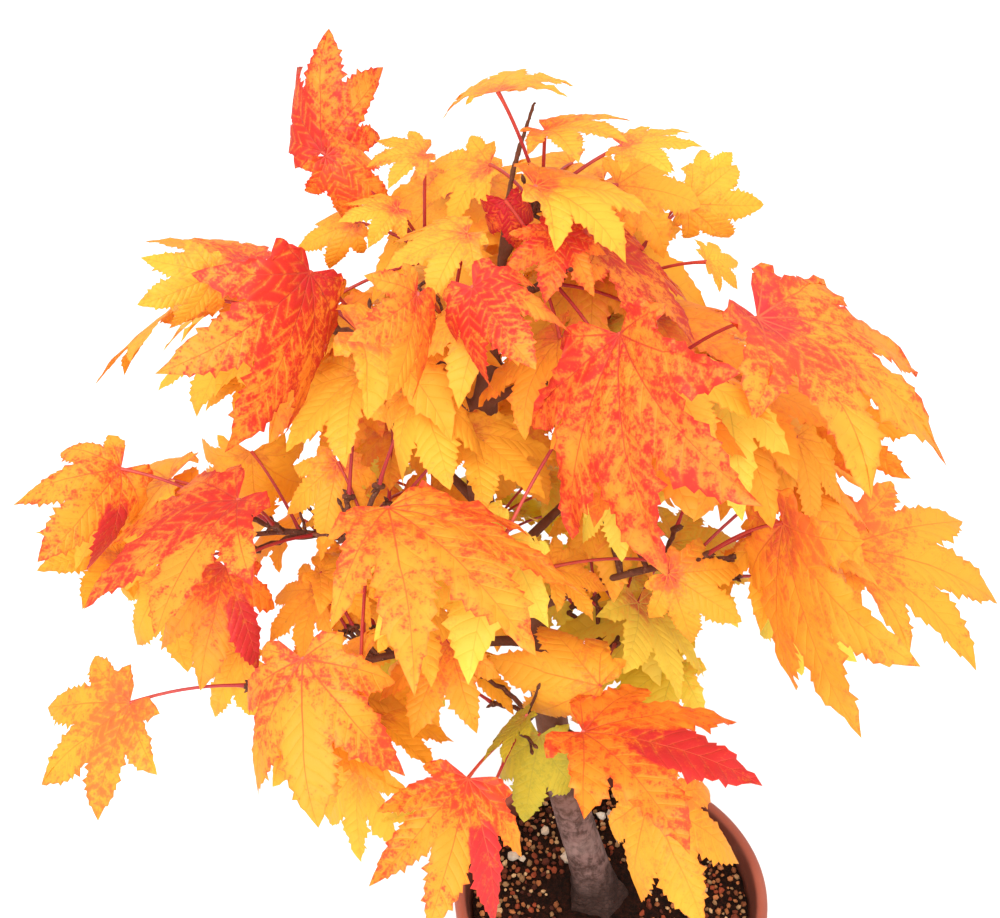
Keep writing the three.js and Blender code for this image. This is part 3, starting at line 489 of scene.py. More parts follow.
def leaf_finish(tint, colours):
    """Blade with ribs and side veins, mottled where it has turned between them."""
    flush = FLUSHES[tint]
    base = tuple(getattr(colours, tint))
    middle, deep = linear(flush.middle), linear(flush.deep)
    f = Finish(f"leaf_{tint}")
    across, along = f.uv("LeafMap")
    lane, off_rib = f.uv("VeinMap")
    tone = f.attribute("tone")
    ripe = f.attribute("ripe")
    edge = abs(across * 2.0 - 1.0)
    wobble = f.noise(45.0, 1.0, 0.5) - 0.5
    patch = f.noise(26.0, 2.0, 0.55) - 0.5
    blotch = f.noise(90.0, 2.0, 0.7) - 0.5
    fleck = f.noise(320.0, 2.0, 0.75) - 0.5
    grain = f.noise(1100.0, 1.0, 0.75) - 0.5
    beat = abs((lane / VEIN_STEP + wobble * 1.2).fraction() * 2.0 - 1.0)
    side_vein = beat.ramp(0.84, 1.0) * (1.0 - edge**4.0)
    vein_glow = beat.ramp(0.5, 1.0) * (1.0 - edge**3.0) * (patch + 0.1).ramp(-0.2, 0.2)
    taper = off_rib / (1.15 - along)
    rib = 1.0 - taper.ramp(RIB_WIDTH * 0.4, RIB_WIDTH)
    near_rib = 1.0 - taper.ramp(0.0, RIB_HALO)
    turning = patch * 2.0 + blotch + fleck * 0.8 + ripe * 0.7 + edge * edge * 0.2 + (tone - 0.5) * 0.5
    turned = (turning + (flush.turned - 0.5) * 1.6).ramp(-0.45, 0.5)
    mottle = patch * 2.4 + blotch * 2.0 + fleck * 2.6 + grain * 1.9 + ripe + edge * edge * 0.3
    paler = vein_glow * 0.5 + near_rib * along * 0.2
    reddened = (mottle - paler + (flush.reddened - 0.36) * 1.8).ramp(-0.3, 0.7)
    colour = f.mix(turned, base, middle)
    colour = f.mix(reddened, colour, deep)
    colour = f.mix(vein_glow * 0.22, colour, base)
    blush = (ripe + fleck * 0.7 + blotch * 0.8).ramp(0.6, 1.25)
    colour = f.mix(blush * 0.85, colour, linear(BLUSH_COLOUR))
    colour = f.mix(rib * (0.95 - along * 0.35), colour, linear(flush.rib))
    colour = f.mix(edge.ramp(0.85, 1.0) * 0.35, colour, deep)
    spots = (1.0 - f.cells(160.0).ramp(0.04, 0.1)) * f.noise(30.0, 1.0).ramp(0.5, 0.58)
    colour = f.mix(spots * 0.6, colour, linear(SPOT_COLOUR))
    relief = side_vein * -0.4 - rib * 0.8 - beat * beat * 0.6
    blade = f.surface(
        Base_Color=colour,
        Roughness=fleck * 0.3 + 0.55,
        Specular_IOR_Level=0.3,
        Normal=f.bump(relief, 0.45, 0.0006),
    )
    mean = [b + (c - b) * flush.turned * 0.7 for b, c in zip(base, middle)]
    through = f.node("ShaderNodeBsdfTranslucent", inputs={"Color": opaque(mean)})
    light = LEAF_LIGHT_THROUGH - blush * BLUSH_SHADE - reddened * RED_SHADE
    return f.done(f.node("ShaderNodeMixShader", inputs={0: light, 1: blade, 2: through}))


# Second colours of the other finishes
STALK_PALE, STALK_DARK = "c4492f", "6e1719"
TWIG_DARK, TWIG_FLECK = "4a2819", "a98468"
BARK_DARK, BARK_PALE, BARK_YOUNG = "463029", "9c8078", "65381f"
FOOT_DARK, FOOT_CRACK = "2e1a12", "1d1410"
# The last clay colour is painted shade for the pot's inner wall above the soil
CLAY_PALE, CLAY_DARK, CLAY_SPECK, CLAY_INNER_SHADE = "a4543e", "7c3728", "cf8a72", "54261a"
SOIL_DARK = "140a06"
FLOOR_PALE, FLOOR_WHITE = "f7f7f6", "fbfbfb"


def stalk_finish(colours):
    """Red leaf stalk, paler towards the blade."""
    f = Finish("leaf_stalk_red")
    _, along = f.uv("LimbMap")
    streak = f.noise(260.0, 3.0, 0.6)
    red = tuple(colours.stalk)
    colour = f.mix((along * 0.5 + streak * 0.5).ramp(0.35, 0.95), red, linear(STALK_PALE))
    colour = f.mix((streak * 1.0).ramp(0.62, 0.75) * 0.4, colour, linear(STALK_DARK))
    relief = f.bump(f.noise(900.0), 0.3, 0.0003)
    return f.done(f.surface(Base_Color=colour, Roughness=streak * 0.2 + 0.4, Normal=relief))


def twig_finish(colours):
    """Brown twig bark with pale flecks and darker rings."""
    f = Finish("twig_bark")
    grain = f.noise(420.0, 4.0, 0.6)
    brown = tuple(colours.twig)
    colour = f.mix(grain.ramp(0.3, 0.75), linear(TWIG_DARK), brown)
    flecks = 1.0 - f.cells(650.0).ramp(0.12, 0.25)
    colour = f.mix(flecks * 0.35, colour, linear(TWIG_FLECK))
    relief = f.bump(grain + flecks * 0.5, 0.6, 0.0004)
    rough = grain * 0.2 + 0.6
    return f.done(f.surface(Base_Color=colour, Roughness=rough, Specular_IOR_Level=0.25, Normal=relief))


def bark_finish(colours):
    """Grey-brown bark, finely wrinkled, and rough, dark and brown at the foot."""
    f = Finish("trunk_bark")
    grey = tuple(colours.bark)
    grain = f.noise(260.0, 5.0, 0.65, 0.5)
    upright = f.noise(1.0, 5.0, 0.65, vector=f.stretched((380.0, 380.0, 60.0)))
    level = f.noise(1.0, 4.0, 0.6, vector=f.stretched((90.0, 90.0, 420.0)))
    patch = f.noise(55.0, 4.0, 0.6)
    foot = 1.0 - (f.height() + patch * 0.03).ramp(0.121, 0.14)
    young = (f.height() + patch * 0.06).ramp(0.17, 0.24)
    colour = f.mix((grain * 0.55 + upright * 0.3 + level * 0.15).ramp(0.4, 0.6), linear(BARK_DARK), grey)
    colour = f.mix(patch.ramp(0.5, 0.7) * 0.35, colour, linear(BARK_PALE))
    colour = f.mix(young * 0.85, colour, linear(BARK_YOUNG))
    colour = f.mix(foot * (grain * 0.6 + 0.5), colour, linear(FOOT_DARK))
    cracks = 1.0 - f.cells(1.0, "DISTANCE_TO_EDGE", f.stretched((300.0, 300.0, 520.0))).ramp(0.0, 0.12)
    colour = f.mix(foot * cracks * 0.4, colour, linear(FOOT_CRACK))
    relief = grain * 0.9 + upright * 0.4 + level * 0.3 - foot * cracks * 0.6
    skin = f.bump(relief, 0.7, 0.0008)
    rough = level * 0.2 + 0.65
    return f.done(f.surface(Base_Color=colour, Roughness=rough, Specular_IOR_Level=0.2, Normal=skin))


def clay_finish(colours):
    """Fired clay with fine specks and faint turning lines, and painted shade on the inner wall between the
    soil and the lip.
    """
    f = Finish("fired_clay")
    clay = tuple(colours.pot)
    cloud = f.noise(28.0, 4.0, 0.55)
    speck = f.noise(1500.0, 2.0, 0.7)
    turned = f.noise(1.0, 3.0, 0.5, vector=f.stretched((4.0, 4.0, 620.0)))
    colour = f.mix(cloud.ramp(0.35, 0.7), clay, linear(CLAY_PALE))
    colour = f.mix(speck.ramp(0.6, 0.72) * 0.35, colour, linear(CLAY_DARK))
    colour = f.mix((1.0 - speck.ramp(0.28, 0.36)) * 0.3, colour, linear(CLAY_SPECK))
    # Painted shade: the inner wall between the soil and the lip is darkened, as shade falls there inside the
    # pot
    inner_shade = (1.0 - (f.off_axis() + cloud * 0.001).ramp(0.0695, 0.0712)) * f.height().ramp(0.0855, 0.088)
    colour = f.mix(inner_shade * (cloud * 0.4 + 0.6), colour, linear(CLAY_INNER_SHADE))
    relief = f.bump(turned * 0.6 + speck * 0.5, 0.35, 0.0004)
    return f.done(f.surface(Base_Color=colour, Roughness=cloud * 0.25 + 0.45, Normal=relief))


def soil_finish(colours):
    """Dark damp soil."""
    f = Finish("damp_soil")
    crumb = f.noise(420.0, 5.0, 0.7)
    colour = f.mix(crumb.ramp(0.35, 0.7), linear(SOIL_DARK), tuple(colours.soil))
    relief = f.bump(crumb, 1.0, 0.002)
    rough = crumb * 0.2 + 0.75
    return f.done(f.surface(Base_Color=colour, Roughness=rough, Specular_IOR_Level=0.1, Normal=relief))


def grain_finish(name, dark, pale, gloss):
    """Grit of one kind, mottled, from its dark to its pale colour."""
    f = Finish(f"grit_{name}")
    patch = f.noise(190.0, 3.0, 0.6)
    pit = f.noise(1700.0, 3.0, 0.7)
    tone = f.attribute("tone")
    colour = f.mix((patch * 0.5 + tone * 0.7).ramp(0.25, 0.95), linear(dark), linear(pale))
    colour = f.mix((1.0 - pit.ramp(0.3, 0.42)) * 0.5, colour, linear(dark))
    relief = f.bump(pit, 0.7, 0.0006)
    rough = pit * 0.3 + gloss
    return f.done(f.surface(Base_Color=colour, Roughness=rough, Specular_IOR_Level=0.25, Normal=relief))


def floor_finish():
    """Plain pale floor."""
    f = Finish("pale_floor")
    cloud = f.noise(3.0, 2.0)
    colour = f.mix(cloud, linear(FLOOR_PALE), linear(FLOOR_WHITE))
    return f.done(f.surface(Base_Color=colour, Roughness=cloud * 0.1 + 0.8))


class Draw:
    """A repeatable stream of numbers, the same as the solids grew by."""

    def __init__(self, seed):
        self.state = seed & 0xFFFFFFFF

    def share(self):
        self.state = (self.state + 0x6D2B79F5) & 0xFFFFFFFF
        mixed = ((self.state ^ (self.state >> 15)) * (1 | self.state)) & 0xFFFFFFFF
        mixed = (mixed + (mixed ^ (mixed >> 7)) * (61 | mixed)) & 0xFFFFFFFF ^ mixed
        return (mixed ^ (mixed >> 14)) / 4294967296

    def between(self, limits):
        return limits[0] + (limits[1] - limits[0]) * self.share()


def unit(vector):
    return vector / np.linalg.norm(vector)


def sight(pixel, behind):
    """The point that shows at a pixel of the photo, on the plane a given way behind the pot's middle."""
    right = pixel[0] - EYE_CENTRE[0]
    rise = EYE_CENTRE[1] - pixel[1]
    ray = np.array((
        right,
        EYE_FOCAL * math.cos(EYE_TILT) + rise * math.sin(EYE_TILT),
        rise * math.cos(EYE_TILT) - EYE_FOCAL * math.sin(EYE_TILT),
    ))
    return EYE + ray * (behind - EYE[1]) / ray[1]


def pixel_of(points):
    """Where points show in the photo."""
    offset = points - EYE
    depth = offset[..., 1] * math.cos(EYE_TILT) - offset[..., 2] * math.sin(EYE_TILT)
    rise = offset[..., 1] * math.sin(EYE_TILT) + offset[..., 2] * math.cos(EYE_TILT)
    columns = EYE_CENTRE[0] + EYE_FOCAL * offset[..., 0] / depth
    return columns, EYE_CENTRE[1] - EYE_FOCAL * rise / depth


def arc(start, end, arch, count):
    """Points of a limb that arches up between its ends."""
    middle = (start + end) / 2 + UP * arch * np.linalg.norm(end - start)
    shares = np.linspace(0, 1, count)[:, None]
    return (1 - shares) ** 2 * start + 2 * (1 - shares) * shares * middle + shares**2 * end


def trunk_at(height):
    """Centre and radius of the trunk at a height."""
    heights = [station.z for station in TRUNK]
    x, y, radius = (
        np.interp(height, heights, [getattr(station, key) for station in TRUNK])
        for key in ("x", "y", "radius")
    )
    return np.array((x, y, np.clip(height, heights[0], heights[-1]))), radius


LEAF_FIELDS = "root joint axis normal side length fan bow cup twist wave tint seed blush"
Leaf = namedtuple("Leaf", LEAF_FIELDS, defaults=((),))
Growth = namedtuple("Growth", "spray line nodes twigs leaves")


def turned(vector, axis, turn):
    """A vector square to an axis, turned about it; the turns may be an array."""
    turn = np.asarray(turn)[..., None]
    return vector * np.cos(turn) + np.cross(axis, vector) * np.sin(turn)


def pose_leaf(root, joint, axis, facing, turn, length, draw, tint, seed, fan=1.0, cup=None):
    """A leaf at its joint, its upper face turned about its axis from the way that it would face."""
    normal = turned(unit(facing - axis * facing.dot(axis)), axis, turn)
    bow, drawn_cup, twist, wave = (
        draw.between(limits) for limits in (LEAF_BOW, LEAF_CUP, LEAF_TWIST, LEAF_WAVE)
    )
    side = np.cross(axis, normal)
    return Leaf(root, joint, axis, normal, side, length, fan, bow, cup or drawn_cup, twist, wave, tint, seed)


def facing_at(joint):
    """Leaves face between the sky and the photo's eye."""
    return unit(UP + (unit(EYE - joint) - UP) * EYE_PULL)


def lead_axis(lead, tilt, shift):
    """Joint, axis and length of a leading leaf whose tip lies so far behind its joint."""
    joint = sight(lead.joint, lead.behind + shift)
    reach = sight(lead.tip, lead.behind + tilt + shift) - joint
    length = np.linalg.norm(reach)
    return joint, reach / length, length


@lru_cache(maxsize=None)
def read_lead(lead):
    """The tilt, turn, cup and fan that bring a leading leaf's side lobes to where the photo shows them."""
    marks = (
        (LOBES[4], lead.cw, 1.0),
        (LOBES[2], lead.ccw, 1.0),
        (LOBES[5], lead.outer_cw, OUTER_WEIGHT),
        (LOBES[1], lead.outer_ccw, OUTER_WEIGHT),
    )
    spreads = np.linspace(*LEAD_FANS) if lead.outer_cw or lead.outer_ccw else [1.0]
    turns, cups, fans = np.meshgrid(
        np.linspace(*LEAD_TURNS), np.linspace(*LEAD_CUPS), spreads, indexing="ij"
    )
    best = (math.inf, None)
    for tilt in np.linspace(*LEAD_TILTS):
        joint, axis, length = lead_axis(lead, tilt, 0)
        facing = facing_at(joint)
        normals = turned(unit(facing - axis * facing.dot(axis)), axis, turns)
        sides = np.cross(axis, normals)
        costs = DROP_COST * (axis[2] - USUAL_DROP) ** 2 + FACE_COST * (1 - normals @ facing)
        costs += CUP_COST * (cups - USUAL_CUP) ** 2
        for (bearing, share), pixel, weight in marks:
            if not pixel:
                continue
            bearings = math.radians(bearing) * fans
            rolls = 2 * cups * share * np.sin(bearings)
            along = share * np.cos(bearings)
            across = np.sin(rolls) / (2 * cups)
            rises = LEAD_BOW * 4 * share * (1 - share) - (1 - np.cos(rolls)) / (2 * cups)
            tips = along[..., None] * axis + across[..., None] * sides + rises[..., None] * normals
            columns, rows = pixel_of(joint + length * tips)
            costs += weight * ((columns - pixel[0]) ** 2 + (rows - pixel[1]) ** 2)
        place = np.unravel_index(np.argmin(costs), costs.shape)
        if costs[place] < best[0]:
            best = (costs[place], (tilt, turns[place], cups[place], fans[place]))
    return best[1]


def lead_leaf(spray, order, root, stands):
    """A leading leaf, at the depth where the solid one stands."""
    lead = spray.leads[order]
    tilt, turn, cup, fan = read_lead(lead)
    for variant, shift in enumerate(LEAD_SHIFTS):
        joint, axis, length = lead_axis(lead, tilt, shift)
        if stands(joint + axis * length):
            seed = spray.seed * SPRAY_SEEDS + order * LEAF_SEEDS + variant
            facing = facing_at(joint)
            leaf = pose_leaf(root, joint, axis, facing, turn, length, Draw(seed), lead.tint, seed, fan, cup)
            return leaf._replace(blush=lead.blush)
    return None


def seeded_leaf(spray, order, root, stands):
    """A seeded leaf: the first of its tries that stands among the solids."""
    out = root - trunk_at(root[2])[0]
    outward = math.atan2(out[1], out[0])
    for turn in range(SEEDED_TRIES):
        seed = spray.seed * SPRAY_SEEDS + FILL_SEEDS + order * LEAF_SEEDS + turn
        draw = Draw(seed)
        heading = outward + draw.between(SEEDED_SPREAD)
        climb = draw.between(SEEDED_CLIMB)
        aim = unit(np.array((math.cos(heading), math.sin(heading), climb)))
        joint = root + aim * draw.between(SEEDED_STALK)
        droop = draw.between(SEEDED_DROOP)
        swing = (
            -math.pi / 2 + draw.between(FRONT_SWING)
            if spray.leads
            else heading + draw.between(SEEDED_SWING)
        )
        level = math.cos(droop)
        axis = np.array((math.cos(swing) * level, math.sin(swing) * level, -math.sin(droop)))
        roll = draw.between(LEAF_ROLL)
        length = draw.between(SEEDED_BLADE)
        if stands(joint + axis * length):
            return pose_leaf(root, joint, axis, UP, roll, length, draw, spray.tint, seed)
    return None


def grow(spray):
    """One spray: its bough and stem line, its twigs and its leaves."""
    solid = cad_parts[f"foliage_{spray.name}"].data.vertices
    tree = KDTree(len(solid))
    for corner in solid:
        tree.insert(corner.co / MM, corner.index)
    tree.balance()

    def stands(tip):
        return tree.find(Vector(tip))[2] < TIP_MATCH

    root, _ = trunk_at(spray.fork)
    line = arc(root, np.array(spray.heart, float), BOUGH_ARCH, LINE_STEPS)
    stem = line[round((LINE_STEPS - 1) * BOUGH_SHARE) :: STEM_STRIDE].copy()
    stem[0] += unit(stem[1] - stem[0]) * STEM_GAP
    nodes = [stem[math.floor((len(stem) - 1) * share + 0.5)] for share in STEM_NODES]
    twigs = []
    leaves = []
    roots = []
    for order, lead in enumerate(spray.leads):
        node = nodes[order // 2 % len(STEM_NODES)]
        joint = sight(lead.joint, lead.behind)
        distance = np.linalg.norm(joint - node)
        if distance < STALK_LIMIT:
            roots.append(node)
            continue
        end = node + (joint - node) * (1 - STALK_REACH / distance)
        twigs.append((node, end))
        nodes.append(end)
        roots.append(end)
    for order, root in enumerate(roots):
        leaves.append(lead_leaf(spray, order, root, stands))
    for order in range(spray.fill):
        leaves.append(seeded_leaf(spray, order, nodes[order % len(nodes)], stands))
    return Growth(spray, line, nodes, twigs, [leaf for leaf in leaves if leaf])


# Finer growth: spurs that carry small leaves where the photo shows the crown full
Zone = namedtuple("Zone", "column row wide high")
FULL_ZONES = (
    Zone(545, 300, 190, 185),
    Zone(400, 420, 130, 130),
    Zone(420, 590, 170, 150),
    Zone(640, 560, 130, 130),
    Zone(260, 350, 110, 90),
    Zone(800, 470, 110, 120),
)
FINE_SEEDS = 80000
FINE_LEAVES = 8
FINE_TRIES = 60
FINE_START = (20, LINE_STEPS)
FINE_SPREAD = (-2.2, 2.2)
FINE_CLIMB = (-0.4, 0.9)
FINE_LIFT = (-0.5, 0.6)
FINE_FORWARD = 4
FINE_SPUR = (8, 26)
FINE_STALK = (16, 40)
FINE_BLADE = (30, 50)
FINE_ROOM = 3.0
LEAD_SHOWS = 0.5
CROWN_CENTRE = np.array((-55.0, 35.0, 322.0))
CROWN_RADII = np.array((180.0, 160.0, 175.0))
FINE_TINTS = {"lemon": "gold", "gold": "lemon", "amber": "gold", "orange": "gold", "lime": "lemon"}


def in_full_crown(points):
    """True if every point is inside the crown and shows where the photo has no sky."""
    columns, rows = pixel_of(points)
    covered = np.zeros(len(points), bool)
    for zone in FULL_ZONES:
        covered |= np.hypot((columns - zone.column) / zone.wide, (rows - zone.row) / zone.high) < 1
    inside = np.linalg.norm((points - CROWN_CENTRE) / CROWN_RADII, axis=1) < 1
    return bool((covered & inside).all())


def fine_leaf(growth, order, clear):
    """A small leaf on a spur of its own, or nothing where there is no room for one."""
    spray = growth.spray
    out = unit(growth.line[-1] - growth.line[0])
    for turn in range(FINE_TRIES):
        seed = spray.seed * SPRAY_SEEDS + FINE_SEEDS + order * LEAF_SEEDS + turn
        draw = Draw(seed)
        start = growth.line[int(draw.between(FINE_START))]
        heading = math.atan2(out[1], out[0]) + draw.between(FINE_SPREAD)
        way = unit(np.array((math.cos(heading), math.sin(heading), draw.between(FINE_CLIMB))))
        root = start + way * draw.between(FINE_SPUR)
        joint = root + unit(way + UP * draw.between(FINE_LIFT)) * draw.between(FINE_STALK)
        swing = (
            -math.pi / 2 + draw.between(FRONT_SWING)
            if spray.leads
            else heading + draw.between(SEEDED_SWING)
        )
        droop = draw.between(SEEDED_DROOP)
        level = math.cos(droop)
        axis = np.array((math.cos(swing) * level, math.sin(swing) * level, -math.sin(droop)))
        tint = spray.tint if order % 3 else FINE_TINTS[spray.tint]
        roll = draw.between(LEAF_ROLL)
        leaf = pose_leaf(root, joint, axis, UP, roll, draw.between(FINE_BLADE), draw, tint, seed)
        forward = spray.leads and joint[1] < start[1] - FINE_FORWARD
        if not forward and clear(leaf):
            return leaf, (start, root)
    return None


Mark = namedtuple("Mark", "column row size distance")


def lead_marks(grown):
    """Where the middle of each leading leaf shows, how large it is there and how far from the eye."""
    marks = []
    for growth in grown:
        for leaf in growth.leaves[: len(growth.spray.leads)]:
            ends = np.array((leaf.joint, leaf.joint + leaf.axis * leaf.length))
            columns, rows = pixel_of(ends)
            size = LEAD_SHOWS * math.hypot(columns[1] - columns[0], rows[1] - rows[0])
            marks.append(Mark(columns.mean(), rows.mean(), size, np.linalg.norm(ends.mean(0) - EYE)))
    return marks


def hides(points, marks):
    """True if some of the points come between the eye and the middle of a leading leaf."""
    columns, rows = pixel_of(points)
    distances = np.linalg.norm(points - EYE, axis=1)
    for mark in marks:
        over = np.hypot(columns - mark.column, rows - mark.row) < mark.size
        if (over & (distances < mark.distance)).any():
            return True
    return False


def spread_points(leaf, stride=3):
    """A sparse cover of points over a leaf."""
    return blade_points(leaf, 0.0)[: len(blade_pattern().x) : stride]


@lru_cache(maxsize=1)
def growths():
    """Every spray of the tree, first as the solids grow, then with finer twigs and leaves between."""
    grown = [grow(spray) for spray in SPRAYS]
    cover = [spread_points(leaf) for growth in grown for leaf in growth.leaves]

    def tree_of(points):
        tree = KDTree(len(points))
        for index, point in enumerate(points):
            tree.insert(point, index)
        tree.balance()
        return tree

    trees = [tree_of(np.concatenate(cover))]
    marks = lead_marks(grown)

    def clear(leaf):
        points = spread_points(leaf, 7)
        if not in_full_crown(points) or hides(points, marks):
            return False
        return all(tree.find(point)[2] > FINE_ROOM for tree in trees for point in points)

    for order in range(FINE_LEAVES):
        for growth in grown:
            found = fine_leaf(growth, order, clear)
            if found:
                growth.leaves.append(found[0])
                growth.twigs.append(found[1])
                growth.nodes.append(found[1][1])
                trees.append(tree_of(spread_points(found[0])))
    return tuple(grown)


class Heap:
    """Small things of one kind, gathered into one mesh."""

    def __init__(self, *maps):
        self.points = []
        self.faces = []
        self.kinds = []
        self.tones = []
        self.ripeness = []
        self.maps = {name: [] for name in maps}
        self.count = 0

    def add(self, points, faces, kind=0, tone=0.5, ripe=0.0, **maps):
        self.points.append(points)
        self.faces.extend([tuple(corner + self.count for corner in face) for face in faces])
        self.kinds.extend([kind] * len(faces))
        self.tones.append(np.full(len(points), tone))
        self.ripeness.append(np.broadcast_to(ripe, len(points)))
        for name, values in maps.items():
            self.maps[name].append(values)
        self.count += len(points)

    def piece(self, name, finishes, sharp=None):
        """The gathered mesh as an object, in metres."""
        mesh = bpy.data.meshes.new(name)
        mesh.from_pydata(np.concatenate(self.points) * MM, [], self.faces)
        for finish in finishes:
            mesh.materials.append(finish)
        mesh.polygons.foreach_set("material_index", self.kinds)
        for key, values in self.maps.items():
            layer = mesh.uv_layers.new(name=key)
            layer.data.foreach_set("uv", np.concatenate(values).astype(np.float32).ravel())
        for key, values in (("tone", self.tones), ("ripe", self.ripeness)):
            mark = mesh.attributes.new(key, "FLOAT", "POINT")
            mark.data.foreach_set("value", np.concatenate(values).astype(np.float32))
        mesh.validate()
        made = bpy.data.objects.new(name, mesh)
        bpy.context.scene.collection.objects.link(made)
        pick(made)
        if sharp is not None:
            bpy.ops.object.shade_smooth_by_angle(angle=math.radians(sharp))
        return made


def pick(*pieces):
    """Select these objects alone; the first one is active."""
    bpy.ops.object.select_all(action="DESELECT")
    for piece in pieces:
        piece.select_set(True)
    bpy.context.view_layer.objects.active = pieces[0]


def hand_over(piece, slot, *nodes):
    """Let a finished piece ride with the plant and stand for its solids."""
    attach(piece, "root")
    if nodes:
        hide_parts(*nodes)


def tube(line, radii, sides):
    """Corners, faces and map of a round limb along a line, closed at both ends."""
    line = np.asarray(line, float)
    way = np.gradient(line, axis=0)
    way /= np.linalg.norm(way, axis=1)[:, None]
    turns = np.linspace(0, 2 * math.pi, sides, endpoint=False)
    normal = UP if abs(way[0][2]) < 0.8 else np.array((1.0, 0.0, 0.0))
    points = []
    for centre, tangent, radius in zip(line, way, radii):
        normal = unit(normal - tangent * normal.dot(tangent))
        side = np.cross(tangent, normal)
        ring = np.cos(turns)[:, None] * normal + np.sin(turns)[:, None] * side
        points.append(centre + radius * ring)
    rings = len(line)
    faces = []
    uv = []
    for ring in range(rings - 1):
        low, high = ring / (rings - 1), (ring + 1) / (rings - 1)
        for corner in range(sides):
            a = ring * sides + corner
            b = ring * sides + (corner + 1) % sides
            faces.append((a, b, b + sides, a + sides))
            left, right = corner / sides, (corner + 1) / sides
            uv.extend(((left, low), (right, low), (right, high), (left, high)))
    faces.append(tuple(reversed(range(sides))))
    faces.append(tuple(range((rings - 1) * sides, rings * sides)))
    uv.extend([(0.5, 0.0)] * sides + [(0.5, 1.0)] * sides)
    return np.concatenate(points), faces, np.array(uv)


# Blade pattern: rows along a lobe, columns from its rib to its edge
WEB_ROWS = 3
COLUMNS = (0.0, 0.4, 0.75, 1.0)
TEETH = (3, 6, 8, 8, 8, 6, 3)
TOOTH_PEAK = 0.74
TOOTH_DEPTH = 0.27
TOOTH_SIZES = (0.5, 1.15, 0.35, 0.95, 0.25, 1.05, 0.6)
TOOTH_SHIFTS = (0.1, -0.1, 0.12, -0.05, 0.08, -0.12)
LOBE_SWELL = 2.4
LOBE_POINT = 1.15
KNEE_SHARE = 0.94
TIP_ROOM = 0.8
TOOTH_ONSET = 5
BASE_HALF = 26.0
BASE_WEB = 0.14
RIB_LAG = 1.15
VEIN_SLANT = 0.95
Blade = namedtuple("Blade", "x y lobe past off sway rim across faces leaf_map vein_map bake_map")


def lobe_rows(index, side):
    """Rows of half a lobe: rib and edge corners, share past the web, and nearness to the edge."""
    bearing, reach = LOBES[index]
    neighbour = index + side
    inner = 0 <= neighbour < len(LOBES)
    half = math.radians(abs(LOBES[neighbour][0] - bearing) / 2 if inner else BASE_HALF)
    web = WEBS[min(index, neighbour)] if inner else BASE_WEB
    sinus, width = web * math.cos(half), web * math.sin(half)
    touching = [WEBS[k] for k in (index - 1, index) if 0 <= k < len(WEBS)]
    knee = sum(touching) / len(touching) * KNEE_SHARE
    rows = [(0.0, 0.0, 0.0, 0.0, 0.0)]
    for row in range(1, WEB_ROWS + 1):
        share = row / WEB_ROWS
        rows.append((knee * share, sinus * share, width * share, 0.0, share**4 if inner else 1.0))
    teeth = TEETH[index]
    pitch = 1 / (teeth + TIP_ROOM)
    for tooth in range(teeth):
        size = TOOTH_SIZES[(tooth + index) % len(TOOTH_SIZES)]
        start = tooth + TOOTH_SHIFTS[(tooth + index) % len(TOOTH_SHIFTS)]
        for share, height in ((start * pitch, 0.0), ((start + TOOTH_PEAK) * pitch, size)):
            if tooth == 0 and height == 0:
                continue
            lobe = width * (1 + LOBE_SWELL * share) * (1 - share) ** LOBE_POINT
            lobe *= 1 + TOOTH_DEPTH * (height - 0.5) * min(1.0, share * TOOTH_ONSET)
            rib = knee + (reach - knee) * share**RIB_LAG
            rows.append((rib, sinus + (reach - sinus) * share, lobe, share, 1.0))
    rows.append((reach, reach, 0.0, 1.0, 1.0))
    return rows


@lru_cache(maxsize=1)
def blade_pattern():
    """The flat blade that every leaf is bent from, its upper and lower faces and their maps."""
    spots = {}
    corners = []
    top = []
    for index, (bearing, reach) in enumerate(LOBES):
        turn = math.radians(bearing)
        for side in (-1, 1):
            grid = []
            for rib, edge, width, past, near in lobe_rows(index, side):
                row = []
                for share in COLUMNS:
                    along = rib + (edge - rib) * share
                    off = width * share
                    x = along * math.cos(turn) - side * off * math.sin(turn)
                    y = along * math.sin(turn) + side * off * math.cos(turn)
                    key = (round(x, 6), round(y, 6))
                    if key not in spots:
                        spots[key] = len(corners)
                        sway = side * share**2 * min(1.0, past * 4)
                        corners.append((x, y, index, past, off, sway, turn + side * math.pi / 2))
                    leaf_uv = (0.5 + 0.5 * side * share * near, along / reach)
                    vein_uv = (along - VEIN_SLANT * off, off)
                    row.append((spots[key], leaf_uv, vein_uv))
                grid.append(row)
            for low, high in pairwise(grid):
                for j in range(len(COLUMNS) - 1):
                    quad = [low[j], high[j], high[j + 1], low[j + 1]][:: -side]
                    face = [c for k, c in enumerate(quad) if c[0] != quad[k - 1][0]]
                    if len({c[0] for c in face}) > 2:
                        top.append(face)
    x, y, lobe, past, off, sway, across = (np.array(column) for column in zip(*corners))
    uses = {}
    for face in top:
        for k, corner in enumerate(face):
            edge = frozenset((corner[0], face[k - 1][0]))
            uses[edge] = uses.get(edge, 0) + 1
    rim = np.zeros(len(x), bool)
    for edge, count in uses.items():
        if count == 1:
            rim[list(edge)] = True
    below = np.arange(len(x))
    below[~rim] = len(x) + np.arange((~rim).sum())
    faces = [tuple(c[0] for c in face) for face in top]
    faces += [tuple(int(below[c[0]]) for c in reversed(face)) for face in top]
    loops = [c for face in top for c in face] + [c for face in top for c in reversed(face)]
    leaf_map = np.array([c[1] for c in loops])
    vein_map = np.array([c[2] for c in loops])
    flat = np.array([(x[c[0]], y[c[0]]) for c in loops])
    bake_map = (flat - flat.min(0)) / (flat.max(0) - flat.min(0))
    maps = (leaf_map, vein_map, bake_map)
    return Blade(x, y, lobe.astype(int), past, off, sway, rim, across, faces, *maps)


